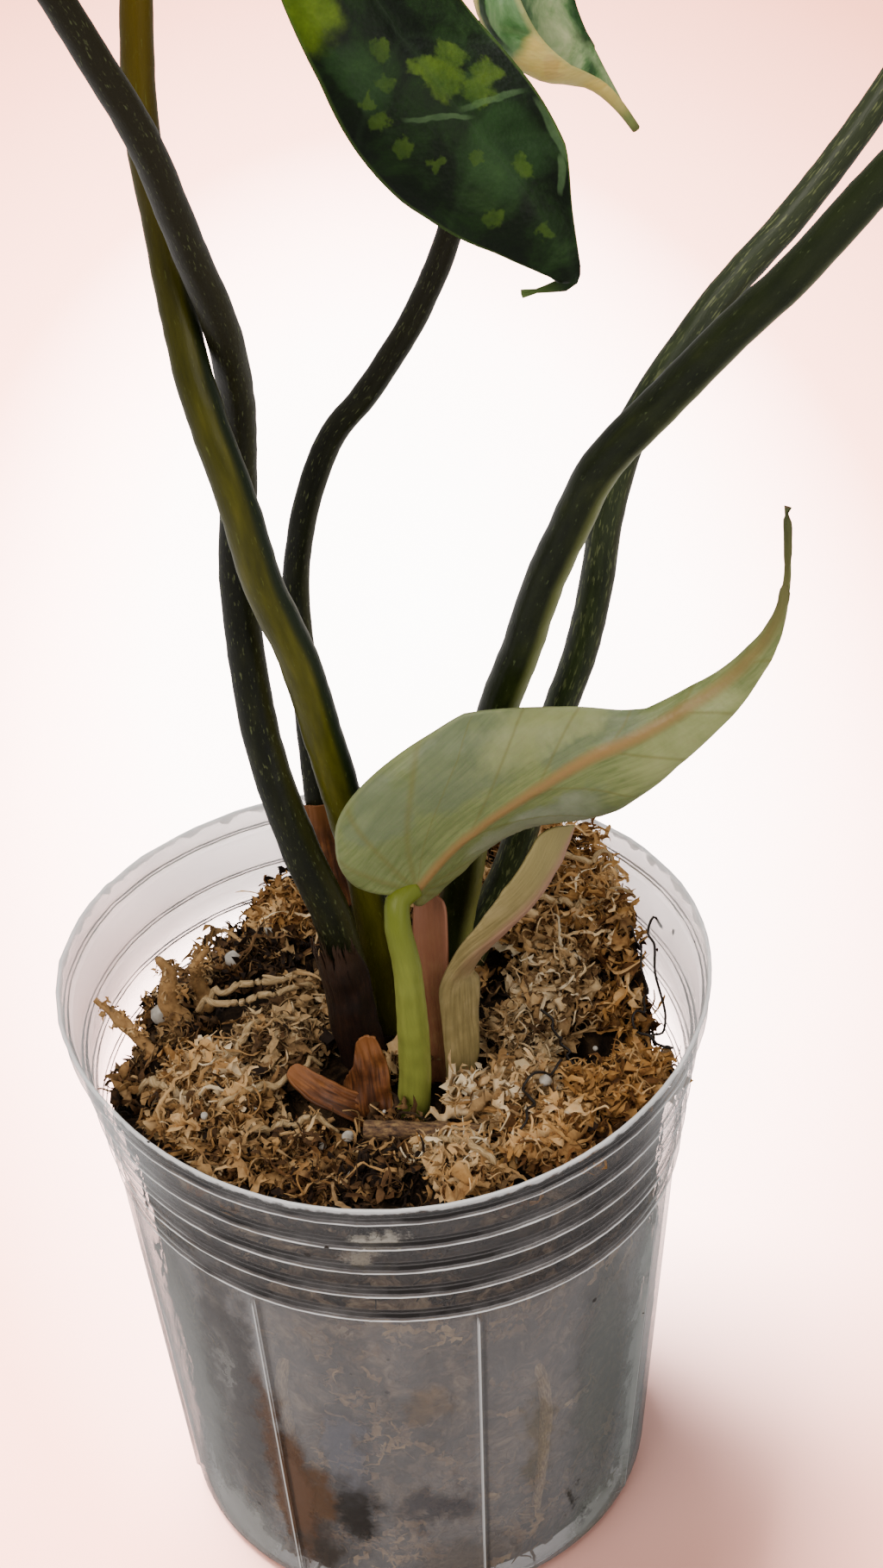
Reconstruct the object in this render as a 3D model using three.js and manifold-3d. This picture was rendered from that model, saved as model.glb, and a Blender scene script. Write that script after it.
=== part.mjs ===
// A variegated philodendron in a clear nursery pot filled with sphagnum moss.
// Millimetres, +Z up, +Y away from the front. The origin is the middle of the pot's underside.
import * as THREE from 'three';
import { mergeVertices } from 'three/addons/utils/BufferGeometryUtils.js';
import Module from 'manifold-3d';

// Driving dimensions
const gap = 0.3; // left between two pieces that touch
const mossGap = 0.6; // left between the moss and the pot's wall
const bladeThickness = 0.7;
const bractThickness = 0.6;
const rollFrom = 0.7; // part of a half blade's width where its margin usually begins to roll
const lobeSlope = 0.3; // how steeply the edge of a heart's notch climbs away from the stalk
const bladeColumns = 5; // facets across a half blade, and rows from its base to its tip
const bladeRows = 16;
const bractColumns = 3;
const bractRows = 7;
const stalkSides = 8;
const stalkSteps = 18;
const twigSides = 7;
const twigSteps = 5;
const pot = {
  height: 122,
  wall: 0.8,
  floor: 1,
  chamfer: 2.6,
  bandFrom: 86, // height where the ring band begins, and then the flared lip
  lipFrom: 111,
  radii: [44.2, 46.6, 52.7, 56.5, 59.8], // at the foot, chamfer, band, lip and rim
  ringHeights: [87.4, 95.1, 102.6, 110, 118.5],
  ringHeight: 1.6,
  ringDepth: 0.7,
  ribCount: 8,
  firstRib: -122.5, // degrees from +X
  ribFrom: 4.6,
  ribTo: 85,
  ribDepth: 0.6,
  ribRamp: 0.8,
  drainCount: 8,
  drainRadius: 4,
  drainCircle: 30,
  drainSides: 12,
};
const wallHeights = [0, pot.chamfer, pot.bandFrom, pot.lipFrom, pot.height];
// Columns of the wall within one rib's share of the circle, in degrees from the rib's middle
const ribColumns = [-1.1, -0.45, 0.45, 1.1, 16, 29.5];

// Points of each leaf stalk from the rhizome up to its blade, and its radius at foot, middle and top
const stalks = {
  a: {
    radii: [3.7, 3, 1.9],
    points: [[-1, -6, 94], [-4.5, -6, 106], [-5.6, -6, 121], [-8.2, -5, 138.5], [-13.3, -3, 155.5],
      [-17.6, 2, 174], [-19, 7, 201], [-17.3, 8, 219.5], [-16, 4, 238], [-17, -3.6, 254],
      [-19.9, -9, 267.7], [-24.2, -18, 288.8], [-28.5, -23, 301.4], [-36, -29, 320], [-47, -36, 340],
      [-58, -42, 352]],
  },
  b: {
    radii: [3.7, 3.25, 2],
    points: [[2, 2, 94], [0.4, 3, 109], [-1.3, 2, 137.5], [-3.2, 1, 151.5], [-7.1, -2, 176],
      [-10.2, -4, 194], [-14.4, -6, 209], [-17.1, -7, 225], [-21.3, -4, 242.5], [-23.3, 0.3, 255],
      [-24.6, 4, 267], [-25.8, 6, 280], [-24.5, 8, 300], [-21, 11, 322], [-14, 10, 344]],
  },
  c: {
    radii: [2.7, 2.3, 1.7],
    points: [[2, 12, 94], [-3.5, 12.5, 108], [-6.7, 15, 124], [-8.8, 19, 137.5], [-9.6, 22, 147],
      [-10, 26, 160], [-10.3, 30, 173], [-10.4, 33, 183], [-9.7, 34, 189], [-6.8, 35, 201],
      [-1.7, 36, 212.5], [5, 35, 221], [14.4, 33, 236.5], [21, 31, 253], [27, 34, 275],
      [31, 40, 302], [32, 47, 330], [31, 50, 352]],
  },
  d: {
    radii: [3.6, 3.3, 2.3],
    points: [[8, 8, 94], [11.8, 9, 112], [13.8, 8, 126.5], [15.9, 6, 139], [19.3, 4, 161],
      [22.7, 3, 174.7], [27, 2, 187], [31.2, 0, 201.6], [35.7, -2, 213.4], [40.3, -4, 224.3],
      [48.5, -8, 236], [61.6, -15, 254], [67.1, -18, 261], [78.5, -24, 278], [94, -32, 300],
      [110, -38, 322], [124, -42, 340]],
  },
  e: {
    radii: [3.2, 2.9, 2],
    points: [[10, 18, 94], [14.5, 18, 104], [19.9, 18, 118], [24.6, 18, 129], [30.8, 18, 150],
      [34.7, 18, 163.5], [38.8, 18, 175.6], [41.9, 18, 190], [43.5, 18, 201], [45.7, 19, 210],
      [48.9, 21, 218], [60, 27, 231.5], [67.6, 31, 239], [76.7, 35, 246.6], [92.5, 40, 265],
      [108, 45, 288], [122, 49, 312], [131, 51, 334]],
  },
  young: {
    radii: [3.1, 2.8, 2.1],
    points: [[2.6, -20, 94], [3.4, -22, 109], [4, -22, 117], [4.2, -21, 130], [3.9, -20, 139.5],
      [2.9, -18.4, 147], [3.4, -16.2, 150.6], [6.2, -14, 151.5]],
  },
};

// Half outlines of flat leaves, from the sinus or foot to the tip, in parts of the blade's length
const heartOutline = [[0.07, -0.17], [0.16, -0.25], [0.28, -0.25], [0.38, -0.16], [0.43, -0.02],
  [0.42, 0.16], [0.38, 0.34], [0.32, 0.51], [0.25, 0.64], [0.17, 0.75], [0.09, 0.83], [0.04, 0.89],
  [0.015, 0.95], [0, 1]];
const youngOutline = [[0.03, -0.02], [0.09, -0.04], [0.15, -0.01], [0.19, 0.07], [0.195, 0.2],
  [0.16, 0.33], [0.125, 0.46], [0.1, 0.6], [0.06, 0.73], [0.02, 0.83], [0.007, 0.92], [0, 1]];
const bractOutline = [[0.2, 0], [0.2, 0.3], [0.2, 0.6], [0.2, 0.88], [0.15, 0.97], [0, 1]];
const bractWidest = 0.2;

// Mature and young blades. The first midrib point is where the stalk joins, and the face vectors
// say which way the upper side looks at the base, the middle and the tip. For the left and right
// halves, width scales the outline (in even steps from base to tip), fold is the angle at the
// midrib, curl is the angle gained out to the margin and roll is what the last stretch before the
// margin adds, from rollFrom on. Wave is the height and the number of the ripples along the margin.
const blades = {
  a: {
    outline: heartOutline,
    midrib: [[-58, -42, 352], [-74, -53, 357], [-98, -69, 348], [-118, -82, 326], [-128, -88, 298],
      [-130, -89, 282]],
    face: [[0.2, 0.1, 1], [-0.3, -0.3, 1], [-0.8, -0.6, 0.4]],
    width: [[1, 1], [1, 1]],
    fold: [0.16, 0.16],
    curl: [-0.5, -0.5],
    roll: [-0.3, -0.3],
    wave: [2.2, 3],
  },
  b: {
    outline: heartOutline,
    midrib: [[-14, 10, 344], [-6, 6, 329], [10, 0, 301], [18, -5, 289], [26, -9, 279],
      [32, -12, 270], [35.9, -12.6, 262], [35.6, -10.4, 259], [32, -8, 257.2],
      [28.4, -6.5, 256.2]],
    face: [[0.9, 0.1, 0.4], [0.8, -0.5, 0.35], [0.35, -0.9, 0.3]],
    width: [[0.7, 0.7, 0.66, 0.58, 0.5, 0.52, 0.56, 0.3, 0.3],
      [0.35, 0.3, 0.27, 0.4, 0.6, 0.74, 0.8]],
    fold: [0.1, -0.5],
    curl: [-0.8, -1.4],
    roll: [0, -0.6],
    wave: [0.8, 2.5],
  },
  c: {
    outline: heartOutline,
    midrib: [[31, 50, 352], [30.5, 44, 336], [31.5, 36, 314], [34.5, 30, 299], [38.5, 25.5, 288],
      [44.5, 22.5, 279], [49.5, 20.5, 270]],
    face: [[0.2, -0.5, 0.8], [0.2, -0.9, 0.3], [0.5, -0.8, 0.2]],
    width: [[0.5, 0.4, 0.25, 0.15], [0.9, 0.95, 0.95, 0.95, 1, 2.1, 1.1]],
    fold: [-0.2, 0],
    curl: [-0.6, 0.2],
    roll: [0, 3.3],
    rollFrom: 0.42,
    wave: [0.8, 2],
  },
  d: {
    outline: heartOutline,
    midrib: [[124, -42, 340], [137, -54, 347], [157, -75, 342], [172, -93, 322], [180, -104, 296],
      [181, -107, 280]],
    face: [[-0.2, 0.1, 1], [0.3, -0.3, 1], [0.6, -0.8, 0.4]],
    width: [[1, 1], [1, 1]],
    fold: [0.18, 0.18],
    curl: [-0.5, -0.5],
    roll: [-0.3, -0.3],
    wave: [2.4, 3],
  },
  e: {
    outline: heartOutline,
    midrib: [[131, 51, 334], [145, 61, 342], [166, 79, 340], [184, 96, 322], [194, 107, 298],
      [196, 110, 280]],
    face: [[-0.1, -0.2, 1], [0.3, 0.2, 1], [0.8, 0.7, 0.4]],
    width: [[1, 1], [1, 1]],
    fold: [0.2, 0.2],
    curl: [-0.45, -0.45],
    roll: [-0.3, -0.3],
    wave: [2, 3],
  },
  young: {
    outline: youngOutline,
    midrib: [[6.2, -14, 151.5], [14.1, -13, 160], [24.7, -12, 167.2], [36.5, -11, 173.4],
      [45.2, -11, 177], [54, -11, 182.2], [61, -11, 187.5], [67, -12, 196], [69.4, -12, 205],
      [68.8, -13, 220]],
    face: [[-0.3, 0.9, 0.3], [-0.2, 0.95, 0.2], [0.2, 0.8, -0.3], [0.4, 0.6, -0.6],
      [0.5, 0.55, -0.6], [0.5, 0.6, -0.5]],
    width: [[0.8, 1.2, 0.62, 0.36, 0.3], [1.1, 1, 0.27, 0.22, 0.5]],
    fold: [0.1, 0],
    curl: [0.8, 0.5],
    roll: [0.6, 0.8],
    wave: [0.4, 3],
  },
};

// Bracts and dried sheaths round the crown. Each lies along its spine: halfWidths are the reach of
// its left and right halves in even steps from foot to tip, fold is the angle between the halves and
// the spine's plane, and curl is the angle that the widest half gains out to its edge.
const bracts = {
  tan: {
    spine: [[10, -17.6, 104], [10.2, -16.8, 113], [10.1, -15.3, 122], [11, -14, 129.5],
      [15, -12.4, 134], [20.6, -10.6, 137.5], [26.5, -7.6, 141], [31.5, -4, 146], [35, -0.5, 152]],
    face: [[-0.3, 0.9, 0], [-0.4, 0.8, 0.3], [-0.4, 0.6, 0.6]],
    halfWidths: [[3, 7, 8, 9.5, 6, 1.6, 0.6, 0.6], [0.6, 0.6, 0.6, 1.5, 4, 7.5, 8, 8]],
    fold: [0.1, 0.3],
    curl: 0.5,
  },
  pink: {
    spine: [[9.3, -15.5, 104], [9, -14.2, 113], [8.7, -12.7, 122], [8.6, -11.2, 130],
      [8.8, -9, 138], [9, -7.4, 142], [9.1, -6.6, 144]],
    face: [[-0.3, -1, 0], [-0.3, -1, 0.1], [-0.3, -1, 0.2]],
    halfWidths: [[2.2, 2.8, 3, 3.2], [2.2, 2.8, 3, 3.2]],
    fold: [0, 0],
    curl: 0.7,
  },
  dryFront: {
    spine: [[-2.6, -23.2, 108], [-3, -22.4, 113], [-3.2, -21, 118], [-4, -19.5, 123.5]],
    face: [[-0.1, -0.9, 0.3], [-0.1, -0.9, 0.4], [-0.2, -0.9, 0.4]],
    halfWidths: [[8, 6.5, 3.6, 2], [2.4, 2.6, 2.4, 1.6]],
    fold: [0, 0],
    curl: -0.6,
  },
  dryWing: {
    spine: [[-5, -22.6, 108.5], [-9, -23, 111.5], [-13.5, -21.5, 114], [-18, -18.5, 117]],
    face: [[0.2, -0.7, 0.6], [0.2, -0.6, 0.8], [0.1, -0.6, 0.8]],
    halfWidths: [[3, 2.6, 2.4, 1.6], [3, 2.6, 2.4, 1.6]],
    fold: [0, 0],
    curl: 0.8,
  },
  dryA: {
    spine: [[-6.5, -10.2, 107], [-7.6, -10.2, 117], [-8.7, -9.9, 128], [-10.6, -9.2, 140]],
    face: [[0.5, 0.85, 0], [0.5, 0.85, 0], [0.5, 0.85, 0.1]],
    halfWidths: [[6, 6.5, 6, 5], [9, 9.5, 7, 4]],
    fold: [0, 0],
    curl: 2,
  },
  dryC: {
    spine: [[-8.6, 12.6, 127], [-9.6, 14.6, 133.5], [-10.3, 16.9, 140.5], [-10.8, 18.6, 147]],
    face: [[0.3, 0.9, 0.2], [0.3, 0.9, 0.2], [0.3, 0.9, 0.2]],
    halfWidths: [[4, 4.5, 4], [4, 4.5, 4]],
    fold: [0, 0],
    curl: 1.5,
  },
};
// The solids made of them. The two lobes of the front sheath grow together.
const bractPieces = {
  cataphyll_tan: ['tan'],
  cataphyll_pink: ['pink'],
  dried_sheath_front: ['dryFront', 'dryWing'],
  dried_sheath_stalk_a: ['dryA'],
  dried_sheath_stalk_c: ['dryC'],
};

const rhizome = {
  spine: [[2, -28, 92], [3, -12, 94], [6, 6, 94], [9, 24, 91]],
  radii: [6, 8, 6.5],
  sides: 8,
  steps: 5,
};
// Roots leave the rhizome and run down through the moss. The first two lie along the clear wall.
const roots = [
  [[4, -24, 90], [16, -37, 74], [22.8, -42.6, 58], [23, -40.8, 38], [21, -39.6, 18]],
  [[2, -20, 90], [-14, -33, 80], [-24, -40, 64], [-24.2, -38.9, 44], [-23.6, -38.2, 24]],
  [[5, 0, 90], [-8, 6, 74], [-16, 12, 52], [-12, 20, 30]],
  [[8, 18, 88], [18, 28, 70], [26, 24, 46], [20, 14, 22]],
];
const rootRadii = [2, 1.3, 1.2, 0.9];
const rootSides = 5;
const rootSteps = 7;

const twig = {
  points: [[-5.5, -32.6, 113.4], [0, -33.6, 113.8], [7, -34.4, 113.6], [14.5, -35.2, 113.2]],
  radii: [1.9, 1.7, 1.5],
};

// The moss surface: its mean height, and the [x, y, rise, spread] of its hills and hollows
const moss = {
  height: 108.5,
  rings: 8,
  hills: [[-57, 12, -12, 13], [-40, 38, -12, 12], [-18, 55, 4, 9], [38, 40, 13, 15],
    [53, 2, -13, 9], [35, -6, -11, 7.5], [0, -57, 11, 17], [37, -38, 6, 12], [-26, 6, 4, 12],
    [-38, -34, 5, 13], [4, -6, 2, 12]],
  lump: 1.3,
  brim: 1.5, // the moss stays this far under the rim
  strandCount: 20,
  strandRadius: 1,
  strandLength: [9, 18],
  strandArch: [1.5, 4],
  strandBend: 3,
  strandSink: 3, // how far the ends of a strand go down into the moss
  strandSides: 3,
  strandSteps: 4,
};
// Longer scraps of dried moss that stand off the surface by the left wall
const looseScraps = [
  [[-40, -4, 104], [-45, -1, 110], [-49, 2, 114], [-53.5, 3, 118.5]],
  [[-38, 8, 106], [-40.5, 9, 112], [-40, 10, 117], [-41.5, 10, 121]],
  [[-34, 14, 104], [-35.5, 17, 112], [-33, 18, 116]],
];
const scrapRadii = [1.8, 1.2, 0.7];
const scrapSides = 4;
const scrapSteps = 5;

// Small helpers
const wasm = await Module();
wasm.setup();

// Repeatable random numbers from 0 to 1
function seededRandom(seed) {
  let state = seed;
  return () => {
    state = (state * 1664525 + 1013904223) % 4294967296;
    return state / 4294967296;
  };
}

function curveThrough(points) {
  return new THREE.CatmullRomCurve3(points.map((p) => new THREE.Vector3(...p)), false, 'centripetal');
}

// Straight-line reading of a table of [place, value] pairs
function readTable(table, place) {
  const next = Math.max(1, table.findIndex(([at]) => at >= place));
  const [[a, low], [b, high]] = [table[next - 1], table[next]];
  return low + (high - low) * THREE.MathUtils.clamp((place - a) / (b - a), 0, 1);
}

// Reading of values that stand in even steps from 0 to 1
function readEvenly(values, place) {
  return readTable(values.map((value, i) => [i / (values.length - 1), value]), place);
}

// Keeps only the places of a closed geometry's corners, with shared corners merged
function closed(geometry) {
  geometry.deleteAttribute('normal');
  geometry.deleteAttribute('uv');
  return mergeVertices(geometry, 1e-4);
}

function toSolid(geometry) {
  return new wasm.Manifold(new wasm.Mesh({
    numProp: 3,
    vertProperties: new Float32Array(geometry.attributes.position.array),
    triVerts: new Uint32Array(geometry.index.array),
  }));
}

function toGeometry(solid) {
  const { vertProperties, triVerts } = solid.getMesh();
  const geometry = new THREE.BufferGeometry();
  geometry.setAttribute('position', new THREE.BufferAttribute(new Float32Array(vertProperties), 3));
  geometry.setIndex(new THREE.BufferAttribute(new Uint32Array(triVerts), 1));
  return geometry;
}

// The biggest body of a cut solid, without the loose scraps
function mainBody(solid) {
  return solid.decompose().reduce((best, body) => (body.volume() > best.volume() ? body : best));
}

// A round rod bent along a path: a capped cylinder whose rings are carried to the path
function bentRod(points, radii, sides, steps, extra = 0) {
  const path = curveThrough(points);
  const rod = new THREE.CylinderGeometry(1, 1, 1, sides, steps);
  const { normals, binormals } = path.computeFrenetFrames(steps, false);
  const place = rod.attributes.position;
  for (let i = 0; i < place.count; i++) {
    const step = Math.round((place.getY(i) + 0.5) * steps);
    const radius = readEvenly(radii, step / steps) + extra;
    const point = path.getPointAt(step / steps)
      .addScaledVector(binormals[step], place.getX(i) * radius)
      .addScaledVector(normals[step], place.getZ(i) * radius);
    place.setXYZ(i, point.x, point.y, point.z);
  }
  return closed(rod);
}

// Turns an open sheet into a closed solid, measured from the sheet along its normals
function thicken(sheet, below, above) {
  const merged = closed(sheet);
  const corners = Array.from(merged.index.array);
  const faces = [];
  for (let i = 0; i < corners.length; i += 3) {
    const [a, b, c] = corners.slice(i, i + 3);
    if (a !== b && b !== c && c !== a) faces.push([a, b, c]);
  }
  merged.setIndex(faces.flat());
  merged.computeVertexNormals();
  const { position, normal } = merged.attributes;
  const count = position.count;
  const places = new Float32Array(count * 6);
  const point = new THREE.Vector3();
  const out = new THREE.Vector3();
  for (let i = 0; i < count; i++) {
    out.fromBufferAttribute(normal, i);
    point.fromBufferAttribute(position, i).addScaledVector(out, above).toArray(places, i * 3);
    point.addScaledVector(out, -above - below).toArray(places, (count + i) * 3);
  }
  const edges = new Set(faces.flatMap(([a, b, c]) => [`${a},${b}`, `${b},${c}`, `${c},${a}`]));
  const index = faces.flat();
  for (const [a, b, c] of faces) {
    index.push(c + count, b + count, a + count);
    for (const [from, to] of [[a, b], [b, c], [c, a]]) {
      if (edges.has(`${to},${from}`)) continue;
      index.push(to, from, from + count, to, from + count, to + count);
    }
  }
  const solid = new THREE.BufferGeometry();
  solid.setAttribute('position', new THREE.BufferAttribute(places, 3));
  solid.setIndex(index);
  return solid;
}

// Pot

function wallRadius(z) {
  return readTable(wallHeights.map((height, i) => [height, pot.radii[i]]), z);
}

// The thin wall isn't quite round: it is squeezed at the band and its lip has three waves
function outOfRound(angle, z) {
  const squeeze = readTable([[0, 0], [pot.bandFrom, 1.5], [pot.height, 0.6]], z);
  const lipWave = readTable([[0, 0], [pot.bandFrom, 0], [pot.lipFrom, 0.4], [pot.height, 1.25]], z);
  return lipWave * Math.sin(3 * angle) - squeeze * Math.sin(2 * angle);
}

function columnAngle(column) {
  const share = 360 / pot.ribCount;
  const rib = Math.floor(column / ribColumns.length) % pot.ribCount;
  return THREE.MathUtils.degToRad(pot.firstRib + rib * share + ribColumns[column % ribColumns.length]);
}

// Revolves a profile of [radius, height] pairs. Shape says where a point of a column goes.
function revolved(profile, shape) {
  const columns = pot.ribCount * ribColumns.length;
  const body = new THREE.LatheGeometry(profile.map((p) => new THREE.Vector2(...p)), columns);
  const place = body.attributes.position;
  for (let i = 0; i < place.count; i++) {
    const column = Math.floor(i / profile.length) % columns;
    const row = i % profile.length;
    const angle = columnAngle(column);
    const [radius, z] = shape(row, column, angle);
    place.setXYZ(i, radius * Math.cos(angle), radius * Math.sin(angle), z);
  }
  return closed(body);
}

function potSolid() {
  const half = pot.ringHeight / 2;
  // Rows of [radius, height, whether the ribs stand out there]
  const outside = [[0, 0, 0], [wallRadius(0), 0, 0], [wallRadius(pot.chamfer), pot.chamfer, 0]];
  const ribRows = [[pot.ribFrom - pot.ribRamp, 0], [pot.ribFrom, 1], [pot.ribTo, 1],
    [pot.ribTo + pot.ribRamp, 0]];
  for (const [z, rib] of ribRows) outside.push([wallRadius(z), z, rib]);
  for (const z of pot.ringHeights) {
    outside.push([wallRadius(z - half), z - half, 0]);
    outside.push([wallRadius(z) + pot.ringDepth, z, 0]);
    outside.push([wallRadius(z + half), z + half, 0]);
  }
  outside.push([wallRadius(pot.height), pot.height, 0]);
  const inside = [pot.height, pot.lipFrom, pot.bandFrom, pot.chamfer]
    .map((z) => [wallRadius(z) - pot.wall, z, 0]);
  inside.push([wallRadius(pot.floor) - pot.wall, pot.floor, 0], [0, pot.floor, 0]);
  const rows = [...outside, ...inside];
  const onRib = (column) => [1, 2].includes(column % ribColumns.length);
  const shell = toSolid(revolved(rows.map(([radius, z]) => [radius, z]), (row, column, angle) => {
    const [radius, z, rib] = rows[row];
    if (radius === 0) return [0, z];
    return [radius + outOfRound(angle, z) + (rib && onRib(column) ? pot.ribDepth : 0), z];
  }));
  let holed = shell;
  for (let i = 0; i < pot.drainCount; i++) {
    const angle = ((i + 0.5) / pot.drainCount) * 2 * Math.PI;
    const hole = new THREE.CylinderGeometry(pot.drainRadius, pot.drainRadius, pot.floor * 4,
      pot.drainSides);
    hole.rotateX(Math.PI / 2);
    hole.translate(pot.drainCircle * Math.cos(angle), pot.drainCircle * Math.sin(angle), 0);
    holed = holed.subtract(toSolid(closed(hole)));
  }
  return holed;
}

// Leaves and bracts

function flatPoint(outline, length, u, v) {
  const edge = outline.getPointAt(v);
  const rootY = Math.max(0, edge.y - lobeSlope * edge.x);
  return [u * edge.x * length, (rootY + (edge.y - rootY) * Math.abs(u)) * length];
}

// Carries a point of the flat leaf to its place: x across and y along, with u how far out it is
function leafPlace(leaf, midrib, length, halfWidth) {
  const faces = curveThrough(leaf.face);
  const [waveHeight, waveCount] = leaf.wave;
  const from = leaf.rollFrom ?? rollFrom;
  const turns = 6; // the half blade is bent in this many equal stretches
  return (u, x, y) => {
    const t = THREE.MathUtils.clamp(y / length, 0, 1);
    const along = midrib.getTangentAt(t);
    const up = faces.getPoint(t);
    up.addScaledVector(along, -up.dot(along)).normalize();
    const across = new THREE.Vector3().crossVectors(along, up);
    const side = u < 0 ? 0 : 1;
    const reach = Math.abs(x);
    let out = 0;
    let rise = 0;
    for (let i = 0; i < turns; i++) {
      const part = (i + 0.5) / turns;
      const margin = Math.max(0, (Math.abs(u) * part - from) / (1 - from));
      const angle = leaf.fold[side] + (leaf.curl[side] * reach * part) / halfWidth
        + leaf.roll[side] * margin;
      out += (Math.cos(angle) * reach) / turns;
      rise += (Math.sin(angle) * reach) / turns;
    }
    const ripple = Math.sin((2 * Math.PI * waveCount * y) / length + side * 1.3);
    return midrib.getPointAt(t)
      .addScaledVector(along, Math.min(0, y))
      .addScaledVector(across, Math.sign(x) * out)
      .addScaledVector(up, rise + waveHeight * ripple * (reach / halfWidth) ** 2);
  };
}

function leafSheet(leaf, midribPoints, columns, rows) {
  const midrib = curveThrough(midribPoints);
  const length = midrib.getLength();
  const outline = new THREE.SplineCurve(leaf.outline.map((p) => new THREE.Vector2(...p)));
  const widest = Math.max(...leaf.outline.map(([x]) => x)) * length;
  const place = leafPlace(leaf, midrib, length, widest);
  const sheet = new THREE.PlaneGeometry(2, 1, columns * 2, rows);
  const position = sheet.attributes.position;
  for (let i = 0; i < position.count; i++) {
    const u = position.getX(i);
    const [x, y] = flatPoint(outline, length, u, position.getY(i) + 0.5);
    const width = readEvenly(leaf.width[u < 0 ? 0 : 1], THREE.MathUtils.clamp(y / length, 0, 1));
    const point = place(u, x * width, y);
    position.setXYZ(i, point.x, point.y, point.z);
  }
  return sheet;
}

function bladeSolid(blade, extra = 0) {
  const sheet = leafSheet(blade, blade.midrib, bladeColumns, bladeRows);
  return toSolid(thicken(sheet, bladeThickness + extra, extra));
}

function bractSolid(bract, extra = 0) {
  const length = curveThrough(bract.spine).getLength();
  const full = bractWidest * length;
  const bend = (bract.curl * full) / Math.max(...bract.halfWidths.flat());
  const leaf = {
    outline: bractOutline,
    face: bract.face,
    width: bract.halfWidths.map((half) => half.map((reach) => (reach + extra) / full)),
    fold: bract.fold,
    curl: [bend, bend],
    roll: [0, 0],
    wave: [0.5, 2],
  };
  const sheet = leafSheet(leaf, bract.spine, bractColumns, bractRows);
  return toSolid(thicken(sheet, bractThickness + extra, extra));
}

// A solid with a copy moved back a gap from its foot, to cut the room round that foot
function withFoot(solid, spine) {
  const back = curveThrough(spine).getTangentAt(0).multiplyScalar(-gap);
  return solid.add(solid.translate(back.toArray()));
}

// Crown

function rhizomeSolid(extra = 0) {
  let body = toSolid(bentRod(rhizome.spine, rhizome.radii, rhizome.sides, rhizome.steps, extra));
  for (const root of roots) {
    body = body.add(toSolid(bentRod(root, rootRadii, rootSides, rootSteps, extra)));
  }
  return body;
}

function stalkRod(stalk, extra = 0) {
  return toSolid(bentRod(stalk.points, stalk.radii, stalkSides, stalkSteps, extra));
}

function twigSolid(extra = 0) {
  return toSolid(bentRod(twig.points, twig.radii, twigSides, twigSteps, extra));
}

// Each stalk stands on the rhizome and ends just under its blade
function stalkSolid(stalk, blade) {
  const top = withFoot(bladeSolid(blade, gap), blade.midrib);
  return mainBody(stalkRod(stalk).subtract(rhizomeSolid(gap)).subtract(top));
}

// Moss

function mossHeight(x, y) {
  const hills = moss.hills.reduce((sum, [hx, hy, rise, spread]) => {
    const away = ((x - hx) ** 2 + (y - hy) ** 2) / (2 * spread ** 2);
    return sum + rise * Math.exp(-away);
  }, moss.height);
  const lumps = Math.sin(x / 3.1 + Math.sin(y / 4.3)) * Math.sin(y / 2.7 + Math.sin(x / 5.1));
  return Math.min(hills + lumps * moss.lump, pot.height - moss.brim);
}

// Radius of the room inside the wall, kept some way off it
function roomRadius(angle, z, away) {
  return wallRadius(z) - pot.wall - away + outOfRound(angle, z);
}

// The room inside the pot, carried straight on up above the rim
function roomSolid(away) {
  const heights = [pot.floor, pot.floor, ...wallHeights.slice(1), 2 * pot.height, 2 * pot.height];
  const last = heights.length - 1;
  return toSolid(revolved(heights.map((z, row) => [row % last ? 1 : 0, z]), (row, column, angle) => (
    [row % last ? roomRadius(angle, heights[row], away) : 0, heights[row]])));
}

function mossPlug() {
  const sideRows = 5;
  const rows = sideRows + moss.rings + 1;
  const unit = Array.from({ length: rows }, (_, row) => (row === 0 || row === rows - 1
    ? [0, row]
    : [1, row]));
  const bottom = pot.floor + gap;
  return toSolid(revolved(unit, (row, column, angle) => {
    const edge = roomRadius(angle, moss.height, mossGap);
    const top = mossHeight(edge * Math.cos(angle), edge * Math.sin(angle));
    if (row === 0) return [0, bottom];
    if (row <= sideRows) {
      const z = [bottom, pot.chamfer, pot.bandFrom, Math.min(pot.lipFrom, top - 3), top][row - 1];
      return [roomRadius(angle, z, mossGap), z];
    }
    const radius = roomRadius(angle, top, mossGap) * (1 - (row - sideRows) / moss.rings);
    return [radius, mossHeight(radius * Math.cos(angle), radius * Math.sin(angle))];
  }));
}

// Curly strands lie over the surface with both ends sunk in it
function mossStrands() {
  const random = seededRandom(11);
  const between = ([low, high]) => low + (high - low) * random();
  const reach = pot.radii[0]; // strands start no farther out than the pot's foot
  const strands = [];
  for (let i = 0; i < moss.strandCount; i++) {
    const away = reach * Math.sqrt(random());
    const angle = 2 * Math.PI * random();
    const heading = 2 * Math.PI * random();
    const length = between(moss.strandLength);
    const arch = between(moss.strandArch);
    const bend = between([-moss.strandBend, moss.strandBend]);
    const points = [-0.5, -0.2, 0.2, 0.5].map((t) => {
      const side = bend * (0.25 - t * t) * 4;
      const x = away * Math.cos(angle) + length * t * Math.cos(heading) - side * Math.sin(heading);
      const y = away * Math.sin(angle) + length * t * Math.sin(heading) + side * Math.cos(heading);
      const rise = (arch + moss.strandSink) * (1 - 4 * t * t);
      return [x, y, mossHeight(x, y) - moss.strandSink + rise];
    });
    const radii = [moss.strandRadius, moss.strandRadius];
    strands.push(toSolid(bentRod(points, radii, moss.strandSides, moss.strandSteps)));
  }
  for (const points of looseScraps) {
    strands.push(toSolid(bentRod(points, scrapRadii, scrapSides, scrapSteps)));
  }
  return strands;
}

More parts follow.
